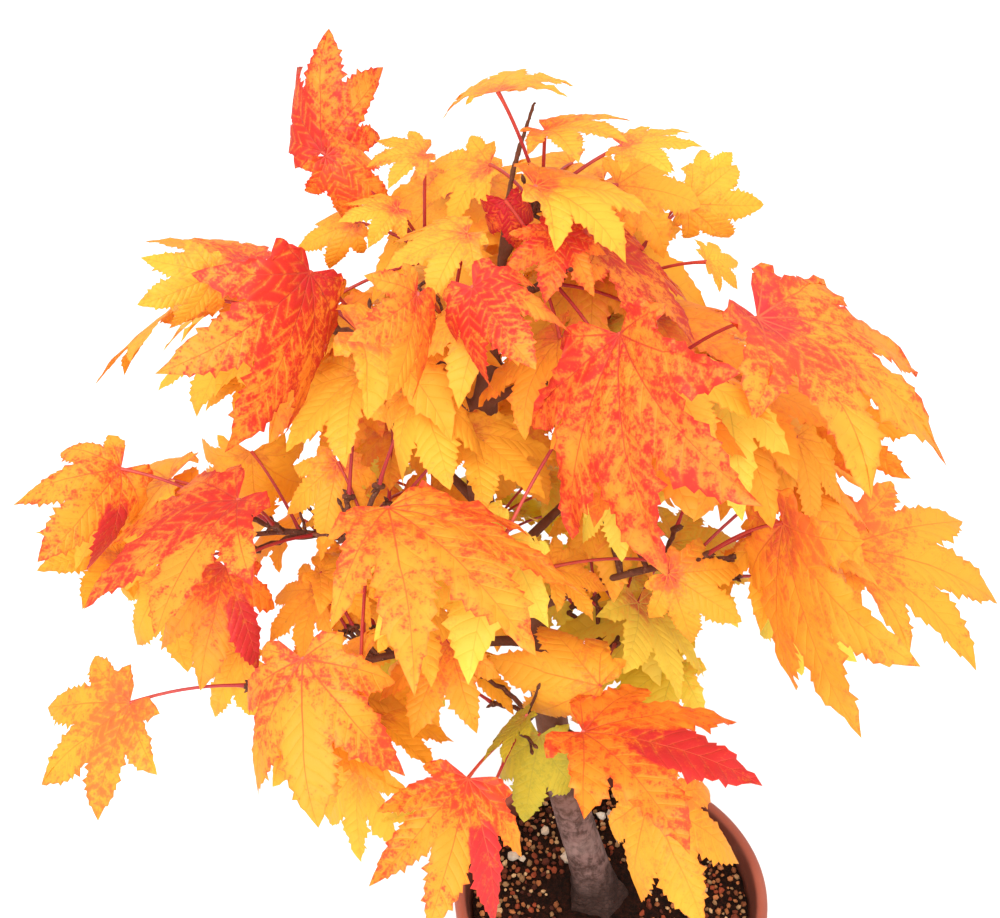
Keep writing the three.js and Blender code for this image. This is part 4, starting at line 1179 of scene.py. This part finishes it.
# How far blades vary, in blade lengths
EDGE_JITTER = 0.003
LOBE_BEND = 0.05
KEEL = (0.1, 0.3)
KEEL_WIDTH = 0.3
FLUTTER = (0.006, 0.02)
FLUTTER_BEATS = (8, 16)
TIP_CURL = (-0.01, 0.045)
LOBE_RIPENESS = 0.2
LOBE_ONSET = 1.6
TIP_RIPENESS = 0.0
HEART_RIPENESS = (0.75, 1.3)
HEART_REACH = 0.55
BLUSH_RIPENESS = 1.25
BLUSH_REACH = 0.4
BAKE_MARGIN, BAKE_SHARE = 0.03, 0.94


def blade_points(leaf, thickness):
    """Corners of a leaf blade, upper face then lower, bowed, cupped, keeled and fluttered."""
    p = blade_pattern()
    rng = np.random.default_rng(leaf.seed)
    lobes = len(LOBES)
    bend = rng.normal(0, LOBE_BEND, lobes)[p.lobe] * p.past * (1 - p.past)
    jitter = rng.normal(0, EDGE_JITTER, len(p.x)) * (p.rim & (p.past > 0) & (p.past < 1))
    shift = jitter + bend * np.sign(np.where(p.sway == 0, 1, p.sway))
    flat_x = p.x + shift * np.cos(p.across)
    flat_y = p.y + shift * np.sin(p.across)
    reach = np.hypot(flat_x, flat_y)
    bearing = np.arctan2(flat_y, flat_x) * leaf.fan
    x = reach * np.cos(bearing)
    y = reach * np.sin(bearing)
    keel = rng.uniform(*KEEL) * p.off * (1 - p.off / KEEL_WIDTH)
    phase = rng.uniform(0, 2 * math.pi, 2 * lobes)[p.lobe * 2 + (p.sway > 0)]
    flutter = rng.uniform(*FLUTTER) * abs(p.sway) * np.sin(p.past * rng.uniform(*FLUTTER_BEATS) + phase)
    curl = rng.uniform(*TIP_CURL, lobes)[p.lobe] * p.past**2
    lift = keel + flutter - curl
    roll = 2 * leaf.cup * y
    rise = leaf.bow * 4 * reach * (1 - reach) - (1 - np.cos(roll)) / (2 * leaf.cup)
    rise += leaf.twist * y * reach + 2 * leaf.wave * x * y + lift
    across = np.sin(roll) / (2 * leaf.cup)
    inside = ~p.rim
    half = np.where(inside, thickness / 2, 0.0)
    flat = leaf.joint + leaf.length * (x[:, None] * leaf.axis + across[:, None] * leaf.side)
    upper = flat + leaf.length * (rise + half)[:, None] * leaf.normal
    lower = flat + leaf.length * (rise - half)[:, None] * leaf.normal
    return np.concatenate((upper, lower[inside]))


def ripeness(leaf):
    """How far each corner of a blade has turned, which differs by lobe and is more by the stalk."""
    p = blade_pattern()
    rng = np.random.default_rng(leaf.seed + 2)
    lobes = rng.normal(TIP_RIPENESS, LOBE_RIPENESS, len(LOBES))
    red = np.isin(p.lobe, leaf.blush)
    heart = np.clip(1 - np.hypot(p.x, p.y) / HEART_REACH, 0, 1)
    upper = lobes[p.lobe] * np.minimum(1.0, p.past * LOBE_ONSET) + rng.uniform(*HEART_RIPENESS) * heart
    upper = np.where(red, BLUSH_RIPENESS * np.minimum(1.0, np.hypot(p.x, p.y) / BLUSH_REACH), upper)
    return np.concatenate((upper, upper[~p.rim]))


def bake_cells(leaf_order, leaf_total):
    """Places of a leaf's upper and lower face on its spray's bake map."""
    flat = blade_pattern().bake_map
    halves = np.split(flat, 2)
    grid = math.ceil(math.sqrt(2 * leaf_total))
    placed = []
    for face, half in enumerate(halves):
        cell = 2 * leaf_order + face
        corner = np.array((cell % grid, cell // grid))
        placed.append((corner + BAKE_MARGIN + BAKE_SHARE * half) / grid)
    return np.concatenate(placed)


# Finer growth along stems and twigs, in millimetres
TUBE_SIDES = 8
STALK_STEPS = 10
TWIG_STEPS = 9
KNUCKLE = ((-2.4, 1.0), (-1.2, 1.3), (0.0, 1.55), (1.2, 1.3), (2.4, 1.0))
BUD = ((0.0, 0.55), (0.9, 0.85), (2.0, 0.7), (3.2, 0.15))
BUD_SCALE = 0.9
SPUR_LENGTH = (10, 24)
SPUR_RADII = (0.75, 0.5)
SPUR_SCATTER = 0.7
SPUR_LIFT = 0.3
SPUR_ARCH = 0.1
SPUR_STEPS = 6
SPUR_KINK = 0.25
SPURS = 3
TWIG_KINK = 0.3
TWIG_TAPER = 0.9
STALK_SLIM = 0.8
STALK_HEEL = 0.6
STALK_HEAD = 0.25
HEEL_FADE = 14
HEAD_FADE = 16


def along_line(start, way, shape, scale=1.0):
    """A straight line of points at the stated distances, with its radii."""
    line = np.array([start + way * distance * scale for distance, _ in shape])
    return line, [radius * scale for _, radius in shape]


def crooked(line, rng, size):
    """A line with small kinks, its ends kept."""
    bent = line.copy()
    bent[1:-1] += rng.normal(0, size, (len(line) - 2, 3))
    return bent


def add_twigs(heap, growth):
    """Stem, twigs, knuckles, buds and short spurs of one spray."""
    rng = np.random.default_rng(growth.spray.seed)
    start = round((LINE_STEPS - 1) * BOUGH_SHARE) - 2
    stem = growth.line[start:]
    limbs = [(stem, np.linspace(STEM_RADIUS, STEM_TIP_RADIUS, len(stem)))]
    for node, end in growth.twigs:
        line = crooked(arc(node, end, TWIG_ARCH, TWIG_STEPS), rng, TWIG_KINK)
        limbs.append((line, np.linspace(TWIG_RADIUS, TWIG_RADIUS * TWIG_TAPER, TWIG_STEPS)))
    out = unit(growth.line[-1] - growth.line[0])
    for _ in range(SPURS):
        root = stem[int(rng.integers(3, len(stem)))]
        way = unit(out + rng.normal(0, SPUR_SCATTER, 3) + UP * SPUR_LIFT)
        end = root + way * rng.uniform(*SPUR_LENGTH)
        line = crooked(arc(root, end, SPUR_ARCH, SPUR_STEPS), rng, SPUR_KINK)
        limbs.append((line, np.linspace(*SPUR_RADII, SPUR_STEPS)))
        limbs.append(along_line(line[-1], way, BUD))
    for node in growth.nodes:
        limbs.append(along_line(node, out, KNUCKLE))
        across = unit(np.cross(out, rng.normal(0, 1, 3)))
        for turn in (-1, 1):
            limbs.append(along_line(node + across * turn, unit(across * turn + out), BUD, BUD_SCALE))
    for line, radii in limbs:
        points, faces, uv = tube(line, radii, TUBE_SIDES)
        heap.add(points, faces, tone=rng.uniform(), LimbMap=uv)


def add_stalk(heap, leaf):
    """A leaf stalk that swells at both its ends."""
    line = arc(leaf.root, leaf.joint, STALK_ARCH, STALK_STEPS)
    shares = np.linspace(0, 1, STALK_STEPS)
    swell = STALK_HEEL * np.exp(-shares * HEEL_FADE) + STALK_HEAD * np.exp((shares - 1) * HEAD_FADE)
    radii = STALK_RADIUS * (STALK_SLIM + swell)
    points, faces, uv = tube(line, radii, TUBE_SIDES)
    heap.add(points, faces, LimbMap=uv)


def raise_limb(line, radii, sides, way):
    """A limb raised ring by ring along its line from a filled circle."""
    line = [Vector(point) * MM for point in line]
    radii = [radius * MM for radius in radii]
    turn = Vector(way).to_track_quat("Z", "Y").to_euler()
    bpy.ops.mesh.primitive_circle_add(
        vertices=sides, radius=radii[0], fill_type="NGON", location=line[0], rotation=turn
    )
    limb = bpy.context.object
    bpy.ops.object.mode_set(mode="EDIT")
    for (here, there), (wide, narrow) in zip(pairwise(line), pairwise(radii)):
        bpy.ops.mesh.extrude_region_move(TRANSFORM_OT_translate={"value": there - here})
        bpy.ops.transform.resize(value=(narrow / wide,) * 3, center_override=there)
    bpy.ops.mesh.select_all(action="SELECT")
    bpy.ops.mesh.normals_make_consistent(inside=False)
    bpy.ops.object.mode_set(mode="OBJECT")
    bpy.ops.object.transform_apply(location=True, rotation=True, scale=True)
    return limb


def finish_shape(piece, kind, **settings):
    """Add a modifier with its settings and apply it."""
    pick(piece)
    bpy.ops.object.modifier_add(type=kind)
    modifier = piece.modifiers[-1]
    for key, value in settings.items():
        setattr(modifier, key, value)
    bpy.ops.object.modifier_apply(modifier=modifier.name)


def cloud_texture(name, scale, depth):
    texture = bpy.data.textures.new(name, "CLOUDS")
    texture.noise_scale = scale
    texture.noise_depth = depth
    return texture


def smooth_line(stations, steps):
    """A smooth line of points and radii through stations, with a number of steps between them."""
    knots = np.array(stations, float)
    padded = np.vstack((2 * knots[0] - knots[1], knots, 2 * knots[-1] - knots[-2]))
    line = []
    for k in range(len(knots) - 1):
        before, start, end, after = padded[k : k + 4]
        for step in range(steps):
            t = step / steps
            line.append(
                start
                + 0.5 * t * (end - before)
                + t * t * (before - 2.5 * start + 2 * end - 0.5 * after)
                + t**3 * 0.5 * (after - before + 3 * (start - end))
            )
    line.append(knots[-1])
    return np.array(line)


# Trunk and boughs
TRUNK_SIDES = 20
TRUNK_STEPS = 4
TRUNK_SINK = 3.0
SHOOT_SLIM = ((380.0, 430.0), (1.0, 0.7))
FLARE_HEIGHT = 16.0
FLARE_RIDGES = 5
FLARE_SCALE = 1.16
RIDGE_EDGE = 0.3
BOUGH_SIDES = 10
BOUGH_RINGS = 9
BARK_VOXEL = 0.9
BARK_SMOOTHING = 0.5
BARK_ROUNDS = 8
FOOT_FADE = 1.6


class BONSAI_OT_wood(bpy.types.Operator):
    """Trunk and boughs in one bark, smoothed where they fork and wrinkled all over."""

    bl_idname = "bonsai.wood"
    bl_label = "Trunk and boughs"

    def execute(self, context):
        sizes = context.scene.bonsai_sizes
        line = smooth_line(TRUNK, TRUNK_STEPS)
        line[0][2] -= TRUNK_SINK
        radii = line[:, 3] * np.interp(line[:, 2], *SHOOT_SLIM)
        trunk = raise_limb(line[:, :3], radii, TRUNK_SIDES, UP)
        self.flare(trunk, line[0])
        limbs = [trunk] + [self.bough(growth) for growth in growths()]
        pick(*limbs)
        bpy.ops.object.join()
        trunk.name = "trunk_and_boughs"
        finish_shape(trunk, "REMESH", mode="VOXEL", voxel_size=BARK_VOXEL * MM)
        finish_shape(trunk, "SMOOTH", factor=BARK_SMOOTHING, iterations=BARK_ROUNDS)
        foot = trunk.vertex_groups.new(name="foot")
        for corner in trunk.data.vertices:
            height = corner.co.z / MM - TRUNK[0].z
            share = max(0.0, min(1.0, FOOT_FADE - height / FLARE_HEIGHT))
            foot.add([corner.index], share, "REPLACE")
        relief = sizes.bark_relief
        fine = cloud_texture("bark_wrinkles", 0.0035, 2)
        coarse = cloud_texture("bark_lumps", 0.014, 1)
        rough = cloud_texture("foot_bark", 0.005, 3)
        for texture, share, group in ((coarse, 1.6, ""), (fine, 0.7, ""), (rough, 2.6, "foot")):
            finish_shape(
                trunk,
                "DISPLACE",
                texture=texture,
                strength=relief * share,
                texture_coords="LOCAL",
                vertex_group=group,
            )
        pick(trunk)
        bpy.ops.object.shade_smooth()
        trunk.data.materials.clear()
        trunk.data.materials.append(bark_finish(context.scene.bonsai_colours))
        boughs = [f"bough_{spray.name}" for spray in SPRAYS]
        hand_over(trunk, "bark", "trunk", *boughs)
        return {"FINISHED"}

    def bough(self, growth):
        """One bough, from the trunk's heart to where its stem begins."""
        _, radius = trunk_at(growth.spray.fork)
        reach = round((LINE_STEPS - 1) * BOUGH_SHARE)
        picks = np.linspace(0, reach, BOUGH_RINGS).round().astype(int)
        root = max(radius * BOUGH_ROOT_SHARE, BOUGH_TIP_RADIUS + BOUGH_SWELL)
        radii = root + (BOUGH_TIP_RADIUS - root) * np.sqrt(np.linspace(0, 1, BOUGH_RINGS))
        line = growth.line[picks]
        return raise_limb(line, radii, BOUGH_SIDES, line[-1] - line[0])

    def flare(self, trunk, foot):
        """Ridges that run out into the soil at the trunk's foot."""
        pick(trunk)
        bpy.ops.object.mode_set(mode="EDIT")
        bpy.ops.mesh.select_mode(type="VERT")
        for share in (1.0, 0.5):
            bpy.ops.mesh.select_all(action="DESELECT")
            bpy.ops.object.mode_set(mode="OBJECT")
            limit = (foot[2] + TRUNK_SINK + FLARE_HEIGHT * share) * MM
            for corner in trunk.data.vertices:
                turn = math.atan2(corner.co.y - foot[1] * MM, corner.co.x - foot[0] * MM)
                ridge = math.cos(FLARE_RIDGES * turn) > RIDGE_EDGE
                corner.select = bool(corner.co.z < limit and ridge)
            bpy.ops.object.mode_set(mode="EDIT")
            grow_by = 1 + (FLARE_SCALE - 1) * (1.5 - share)
            bpy.ops.transform.resize(value=(grow_by, grow_by, 1), center_override=Vector(foot[:3]) * MM)
        bpy.ops.object.mode_set(mode="OBJECT")


class BONSAI_OT_twigs(bpy.types.Operator):
    """Stems, twigs, knuckles, buds and spurs inside the sprays."""

    bl_idname = "bonsai.twigs"
    bl_label = "Twigs and buds"

    def execute(self, context):
        heap = Heap("LimbMap")
        for growth in growths():
            add_twigs(heap, growth)
        twigs = heap.piece("twigs_and_buds", [twig_finish(context.scene.bonsai_colours)], 50)
        hand_over(twigs, "bark")
        return {"FINISHED"}


class BONSAI_OT_leaves(bpy.types.Operator):
    """Leaves of each spray, and the stalks that carry them."""

    bl_idname = "bonsai.leaves"
    bl_label = "Leaves and stalks"

    def execute(self, context):
        colours = context.scene.bonsai_colours
        thickness = context.scene.bonsai_sizes.blade_thickness
        finishes = {tint: leaf_finish(tint, colours) for tint in LEAF_TINTS}
        stalks = Heap("LimbMap")
        pattern = blade_pattern()
        for growth in growths():
            spray = growth.spray
            tints = sorted({leaf.tint for leaf in growth.leaves})
            heap = Heap("LeafMap", "VeinMap", "OFBake")
            for order, leaf in enumerate(growth.leaves):
                tone = np.random.default_rng(leaf.seed + 1).uniform()
                heap.add(
                    blade_points(leaf, thickness),
                    pattern.faces,
                    tints.index(leaf.tint),
                    tone,
                    ripeness(leaf),
                    LeafMap=pattern.leaf_map,
                    VeinMap=pattern.vein_map,
                    OFBake=bake_cells(order, len(growth.leaves)),
                )
                add_stalk(stalks, leaf)
            leaves = heap.piece(f"leaves_{spray.name}", [finishes[tint] for tint in tints], 60)
            hand_over(leaves, spray.slot, f"foliage_{spray.name}")
        made = stalks.piece("leaf_stalks", [stalk_finish(colours)], 50)
        hand_over(made, "leaf_red")
        return {"FINISHED"}


# Pot, in millimetres
POT_SIDES = 128
RIM_STEP = 2.4
RIM_TAPER = 0.6
LIP_STEPS = 6
FOOT_ROUND = 1.5
FOOT_RING = 7.0
FOOT_HOLLOW = 0.8
BAND_ROUND = 1.0
FLOOR_ROUND = 1.5
POT_CREASE = 40
POT_FLOOR = 6.0
POT_WALL = 4.6


def quarter(centre, radius, start, end, steps):
    """Points of a rounded edge in a profile, by angle in degrees."""
    turns = np.radians(np.linspace(start, end, steps))
    return [(centre[0] + radius * math.cos(t), centre[1] + radius * math.sin(t)) for t in turns]


def raise_round(name, rings, sides):
    """A round body raised ring by ring; each ring is a radius and a height in metres."""
    bpy.ops.object.select_all(action="DESELECT")
    bpy.ops.mesh.primitive_circle_add(
        vertices=sides, radius=rings[0][0], fill_type="NGON", location=(0, 0, rings[0][1])
    )
    piece = bpy.context.object
    piece.name = name
    bpy.ops.object.mode_set(mode="EDIT")
    for (wide, low), (narrow, high) in pairwise(rings):
        bpy.ops.mesh.extrude_region_move(TRANSFORM_OT_translate={"value": (0, 0, high - low)})
        share = narrow / wide
        bpy.ops.transform.resize(value=(share, share, 1), center_override=(0, 0, high))
    bpy.ops.mesh.select_all(action="SELECT")
    bpy.ops.mesh.normals_make_consistent(inside=False)
    bpy.ops.object.mode_set(mode="OBJECT")
    bpy.ops.object.transform_apply(location=True, rotation=True, scale=True)
    return piece


class BONSAI_OT_pot(bpy.types.Operator):
    """Round clay pot with a band below its rounded lip."""

    bl_idname = "bonsai.pot"
    bl_label = "Clay pot"

    def execute(self, context):
        sizes = context.scene.bonsai_sizes
        height = sizes.pot_height / MM
        rim, foot = sizes.rim_radius / MM, sizes.foot_radius / MM
        band = height - sizes.rim_band / MM
        lip = sizes.rim_width / MM / 2
        neck = rim - RIM_TAPER - RIM_STEP
        profile = [(foot - FOOT_RING - 1, FOOT_HOLLOW), (foot - FOOT_RING, 0.0)]
        profile += quarter((foot - FOOT_ROUND, FOOT_ROUND), FOOT_ROUND, -90, -10, 4)
        rise = band - RIM_STEP - FOOT_ROUND
        profile += [(foot + (neck - foot) * t, FOOT_ROUND + rise * t) for t in (0.5, 1.0)]
        profile += quarter((rim - RIM_TAPER - BAND_ROUND, band + BAND_ROUND), BAND_ROUND, -90, 0, 4)
        profile += quarter((rim - lip, height - lip), lip, 0, 180, 2 * LIP_STEPS)
        inside = foot - POT_WALL
        profile += [(inside + FLOOR_ROUND, POT_FLOOR + FLOOR_ROUND), (inside - FLOOR_ROUND, POT_FLOOR)]
        pot = raise_round("clay_pot", [(radius * MM, z * MM) for radius, z in profile], POT_SIDES)
        pot.data.materials.append(clay_finish(context.scene.bonsai_colours))
        pick(pot)
        bpy.ops.object.shade_smooth_by_angle(angle=math.radians(POT_CREASE))
        hand_over(pot, "pot", "pot")
        return {"FINISHED"}


# Soil and its grit, in millimetres
SOIL_SIDES = 72
SOIL_EDGE_DROP = 2.5
SOIL_FLAT_RADIUS = 24.0
SOIL_GAP = 0.6
SOIL_SEED = 31
SOIL_RINGS = 22
SOIL_HEART = 2.0
SOIL_LUMPS = 2.4
LUMP_SIZE = 6.0
HUMUS_RADIUS = 30.0
HUMUS_EDGE = (0.6, 1.2)
GRAIN_STRETCH = (0.6, 1.15)
GRAIN_DENTS = (0.72, 1.2)
GRAIN_LIFT = (0.1, 0.34)
GRAIN_ROOM = 0.36
GRAIN_CREASE = 25
Grit = namedtuple("Grit", "name dark pale gloss share sizes")
GRITS = (
    Grit("white_pumice", "cbb49c", "f4ebdc", 0.35, 0.015, (4.5, 7.5)),
    Grit("cream_pumice", "8c6440", "d2a878", 0.55, 0.14, (1.4, 3.6)),
    Grit("tan_clay", "743e22", "b67040", 0.6, 0.27, (1.5, 3.9)),
    Grit("red_clay", "461c0e", "944022", 0.55, 0.575, (1.9, 4.8)),
)


class BONSAI_OT_soil(bpy.types.Operator):
    """Dark soil bed with a cover of grit."""

    bl_idname = "bonsai.soil"
    bl_label = "Soil and grit"

    def execute(self, context):
        sizes = context.scene.bonsai_sizes
        level = sizes.soil_level / MM
        rim = (sizes.rim_radius - sizes.rim_width) / MM
        foot = sizes.foot_radius / MM - POT_WALL
        height = sizes.pot_height / MM

        def wall(z):
            return foot + (rim - foot) * (z - POT_FLOOR) / (height - POT_FLOOR) - SOIL_GAP

        edge = level - SOIL_EDGE_DROP
        outer = wall(edge)

        def surface(radius):
            slope = (radius - SOIL_FLAT_RADIUS) / (outer - SOIL_FLAT_RADIUS)
            return level - SOIL_EDGE_DROP * np.clip(slope, 0, 1)

        base = POT_FLOOR + SOIL_GAP
        profile = [(wall(base), base), (wall(base + 30), base + 30), (wall(edge - 2), edge - 2)]
        profile += [(r, float(surface(r))) for r in np.linspace(outer, SOIL_HEART, SOIL_RINGS)]
        bed = raise_round("soil_bed", [(radius * MM, z * MM) for radius, z in profile], SOIL_SIDES)
        top = bed.vertex_groups.new(name="top")
        top.add([v.index for v in bed.data.vertices if v.co.z > (edge - 0.1) * MM], 1.0, "REPLACE")
        lumps = cloud_texture("soil_lumps", LUMP_SIZE * MM, 3)
        finish_shape(
            bed,
            "DISPLACE",
            texture=lumps,
            strength=SOIL_LUMPS * MM,
            texture_coords="LOCAL",
            vertex_group="top",
        )
        bed.data.materials.append(soil_finish(context.scene.bonsai_colours))
        pick(bed)
        bpy.ops.object.shade_smooth()
        hand_over(bed, "soil", "soil")
        self.scatter(sizes.grain_count, outer, surface)
        return {"FINISHED"}

    def scatter(self, count, outer, surface):
        """Grit of each kind, the largest grains first, none on top of another."""
        bpy.ops.mesh.primitive_ico_sphere_add(subdivisions=1, radius=0.5, location=(0, 0, 0))
        pebble = bpy.context.object
        shape = np.array([corner.co for corner in pebble.data.vertices])
        faces = [tuple(face.vertices) for face in pebble.data.polygons]
        bpy.ops.object.delete()
        rng = np.random.default_rng(SOIL_SEED)
        trunk_foot = np.array((TRUNK[0].x, TRUNK[0].y))
        taken = np.empty((0, 3))
        for grit in GRITS:
            heap = Heap()
            for size in sorted(rng.uniform(*grit.sizes, int(count * grit.share)), reverse=True):
                radius = (outer - size * 0.45) * math.sqrt(rng.uniform())
                turn = rng.uniform(0, 2 * math.pi)
                spot = radius * np.array((math.cos(turn), math.sin(turn)))
                from_trunk = np.linalg.norm(spot - trunk_foot)
                buried = from_trunk < TRUNK[0].radius + size * 0.5
                if buried or from_trunk < HUMUS_RADIUS * rng.uniform(*HUMUS_EDGE):
                    continue
                gaps = np.hypot(*(taken[:, :2] - spot).T) - GRAIN_ROOM * (taken[:, 2] + size)
                if len(gaps) and gaps.min() < 0:
                    continue
                taken = np.vstack((taken, (*spot, size)))
                spin, _ = np.linalg.qr(rng.normal(size=(3, 3)))
                corners = shape * rng.uniform(*GRAIN_STRETCH, 3)
                corners *= rng.uniform(*GRAIN_DENTS, (len(shape), 1))
                corners = corners @ spin * np.sign(np.linalg.det(spin)) * size
                lift = float(surface(radius)) + size * rng.uniform(*GRAIN_LIFT)
                heap.add(corners + (*spot, lift), faces, tone=rng.uniform())
            finish = grain_finish(grit.name, grit.dark, grit.pale, grit.gloss)
            grains = heap.piece(f"grit_{grit.name}", [finish], GRAIN_CREASE)
            hand_over(grains, "soil")


# Stage
FLOOR_SIZE = 9.0
WORLD_LIGHT = 0.95
Lamp = namedtuple("Lamp", "name place size power")
LAMPS = (
    Lamp("key_softbox", (-0.6, -1.1, 1.8), 1.3, 18.0),
    Lamp("front_softbox", (-0.05, -1.1, 1.3), 1.0, 18.0),
    Lamp("top_softbox", (0.1, 0.5, 2.2), 1.6, 12.0),
)
AIM = (-0.05, 0.0, 0.3)


class BONSAI_OT_stage(bpy.types.Operator):
    """Pale floor, soft studio light and a camera at the photo's place."""

    bl_idname = "bonsai.stage"
    bl_label = "Floor, light and camera"

    def execute(self, context):
        scene = context.scene
        bpy.ops.object.select_all(action="DESELECT")
        bpy.ops.mesh.primitive_plane_add(size=FLOOR_SIZE)
        floor = context.object
        floor.name = "pale_floor"
        floor.data.materials.append(floor_finish())
        for lamp in LAMPS:
            way = Vector(AIM) - Vector(lamp.place)
            turn = way.to_track_quat("-Z", "Y").to_euler()
            bpy.ops.object.light_add(type="AREA", location=lamp.place, rotation=turn)
            light = context.object
            light.name = lamp.name
            light.data.size = lamp.size
            light.data.energy = lamp.power
        scene.world = bpy.data.worlds.new("studio")
        scene.world.use_nodes = True
        sky = scene.world.node_tree.nodes["Background"]
        sky.inputs["Color"].default_value = (1.0, 1.0, 1.0, 1.0)
        sky.inputs["Strength"].default_value = WORLD_LIGHT
        turn = (math.pi / 2 - EYE_TILT, 0, 0)
        bpy.ops.object.camera_add(location=Vector(EYE) * MM, rotation=turn)
        camera = context.object
        camera.name = "photo_eye"
        camera.data.sensor_width = SENSOR_WIDTH
        camera.data.lens = EYE_FOCAL * SENSOR_WIDTH / IMAGE_WIDTH
        scene.camera = camera
        scene.view_settings.view_transform = "Standard"
        return {"FINISHED"}


class BONSAI_PT_maker(bpy.types.Panel):
    """Lists the steps that make the bonsai."""

    bl_label = "Maple bonsai"
    bl_space_type = "VIEW_3D"
    bl_region_type = "UI"
    bl_category = "Bonsai"

    def draw(self, context):
        for operator in OPERATORS:
            self.layout.operator(operator.bl_idname)
        for group in (context.scene.bonsai_sizes, context.scene.bonsai_colours):
            for key in group.__annotations__:
                self.layout.prop(group, key)


OPERATORS = (
    BONSAI_OT_pot,
    BONSAI_OT_soil,
    BONSAI_OT_wood,
    BONSAI_OT_twigs,
    BONSAI_OT_leaves,
    BONSAI_OT_stage,
)
CLASSES = (BonsaiSizes, BonsaiColours, *OPERATORS, BONSAI_PT_maker)


def register():
    for cls in CLASSES:
        bpy.utils.register_class(cls)
    bpy.types.Scene.bonsai_sizes = PointerProperty(type=BonsaiSizes)
    bpy.types.Scene.bonsai_colours = PointerProperty(type=BonsaiColours)


def unregister():
    del bpy.types.Scene.bonsai_colours
    del bpy.types.Scene.bonsai_sizes
    for cls in reversed(CLASSES):
        bpy.utils.unregister_class(cls)


def main():
    register()
    bpy.ops.bonsai.pot()
    bpy.ops.bonsai.soil()
    bpy.ops.bonsai.wood()
    bpy.ops.bonsai.twigs()
    bpy.ops.bonsai.leaves()
    bpy.ops.bonsai.stage()


if __name__ == "__main__":
    main()
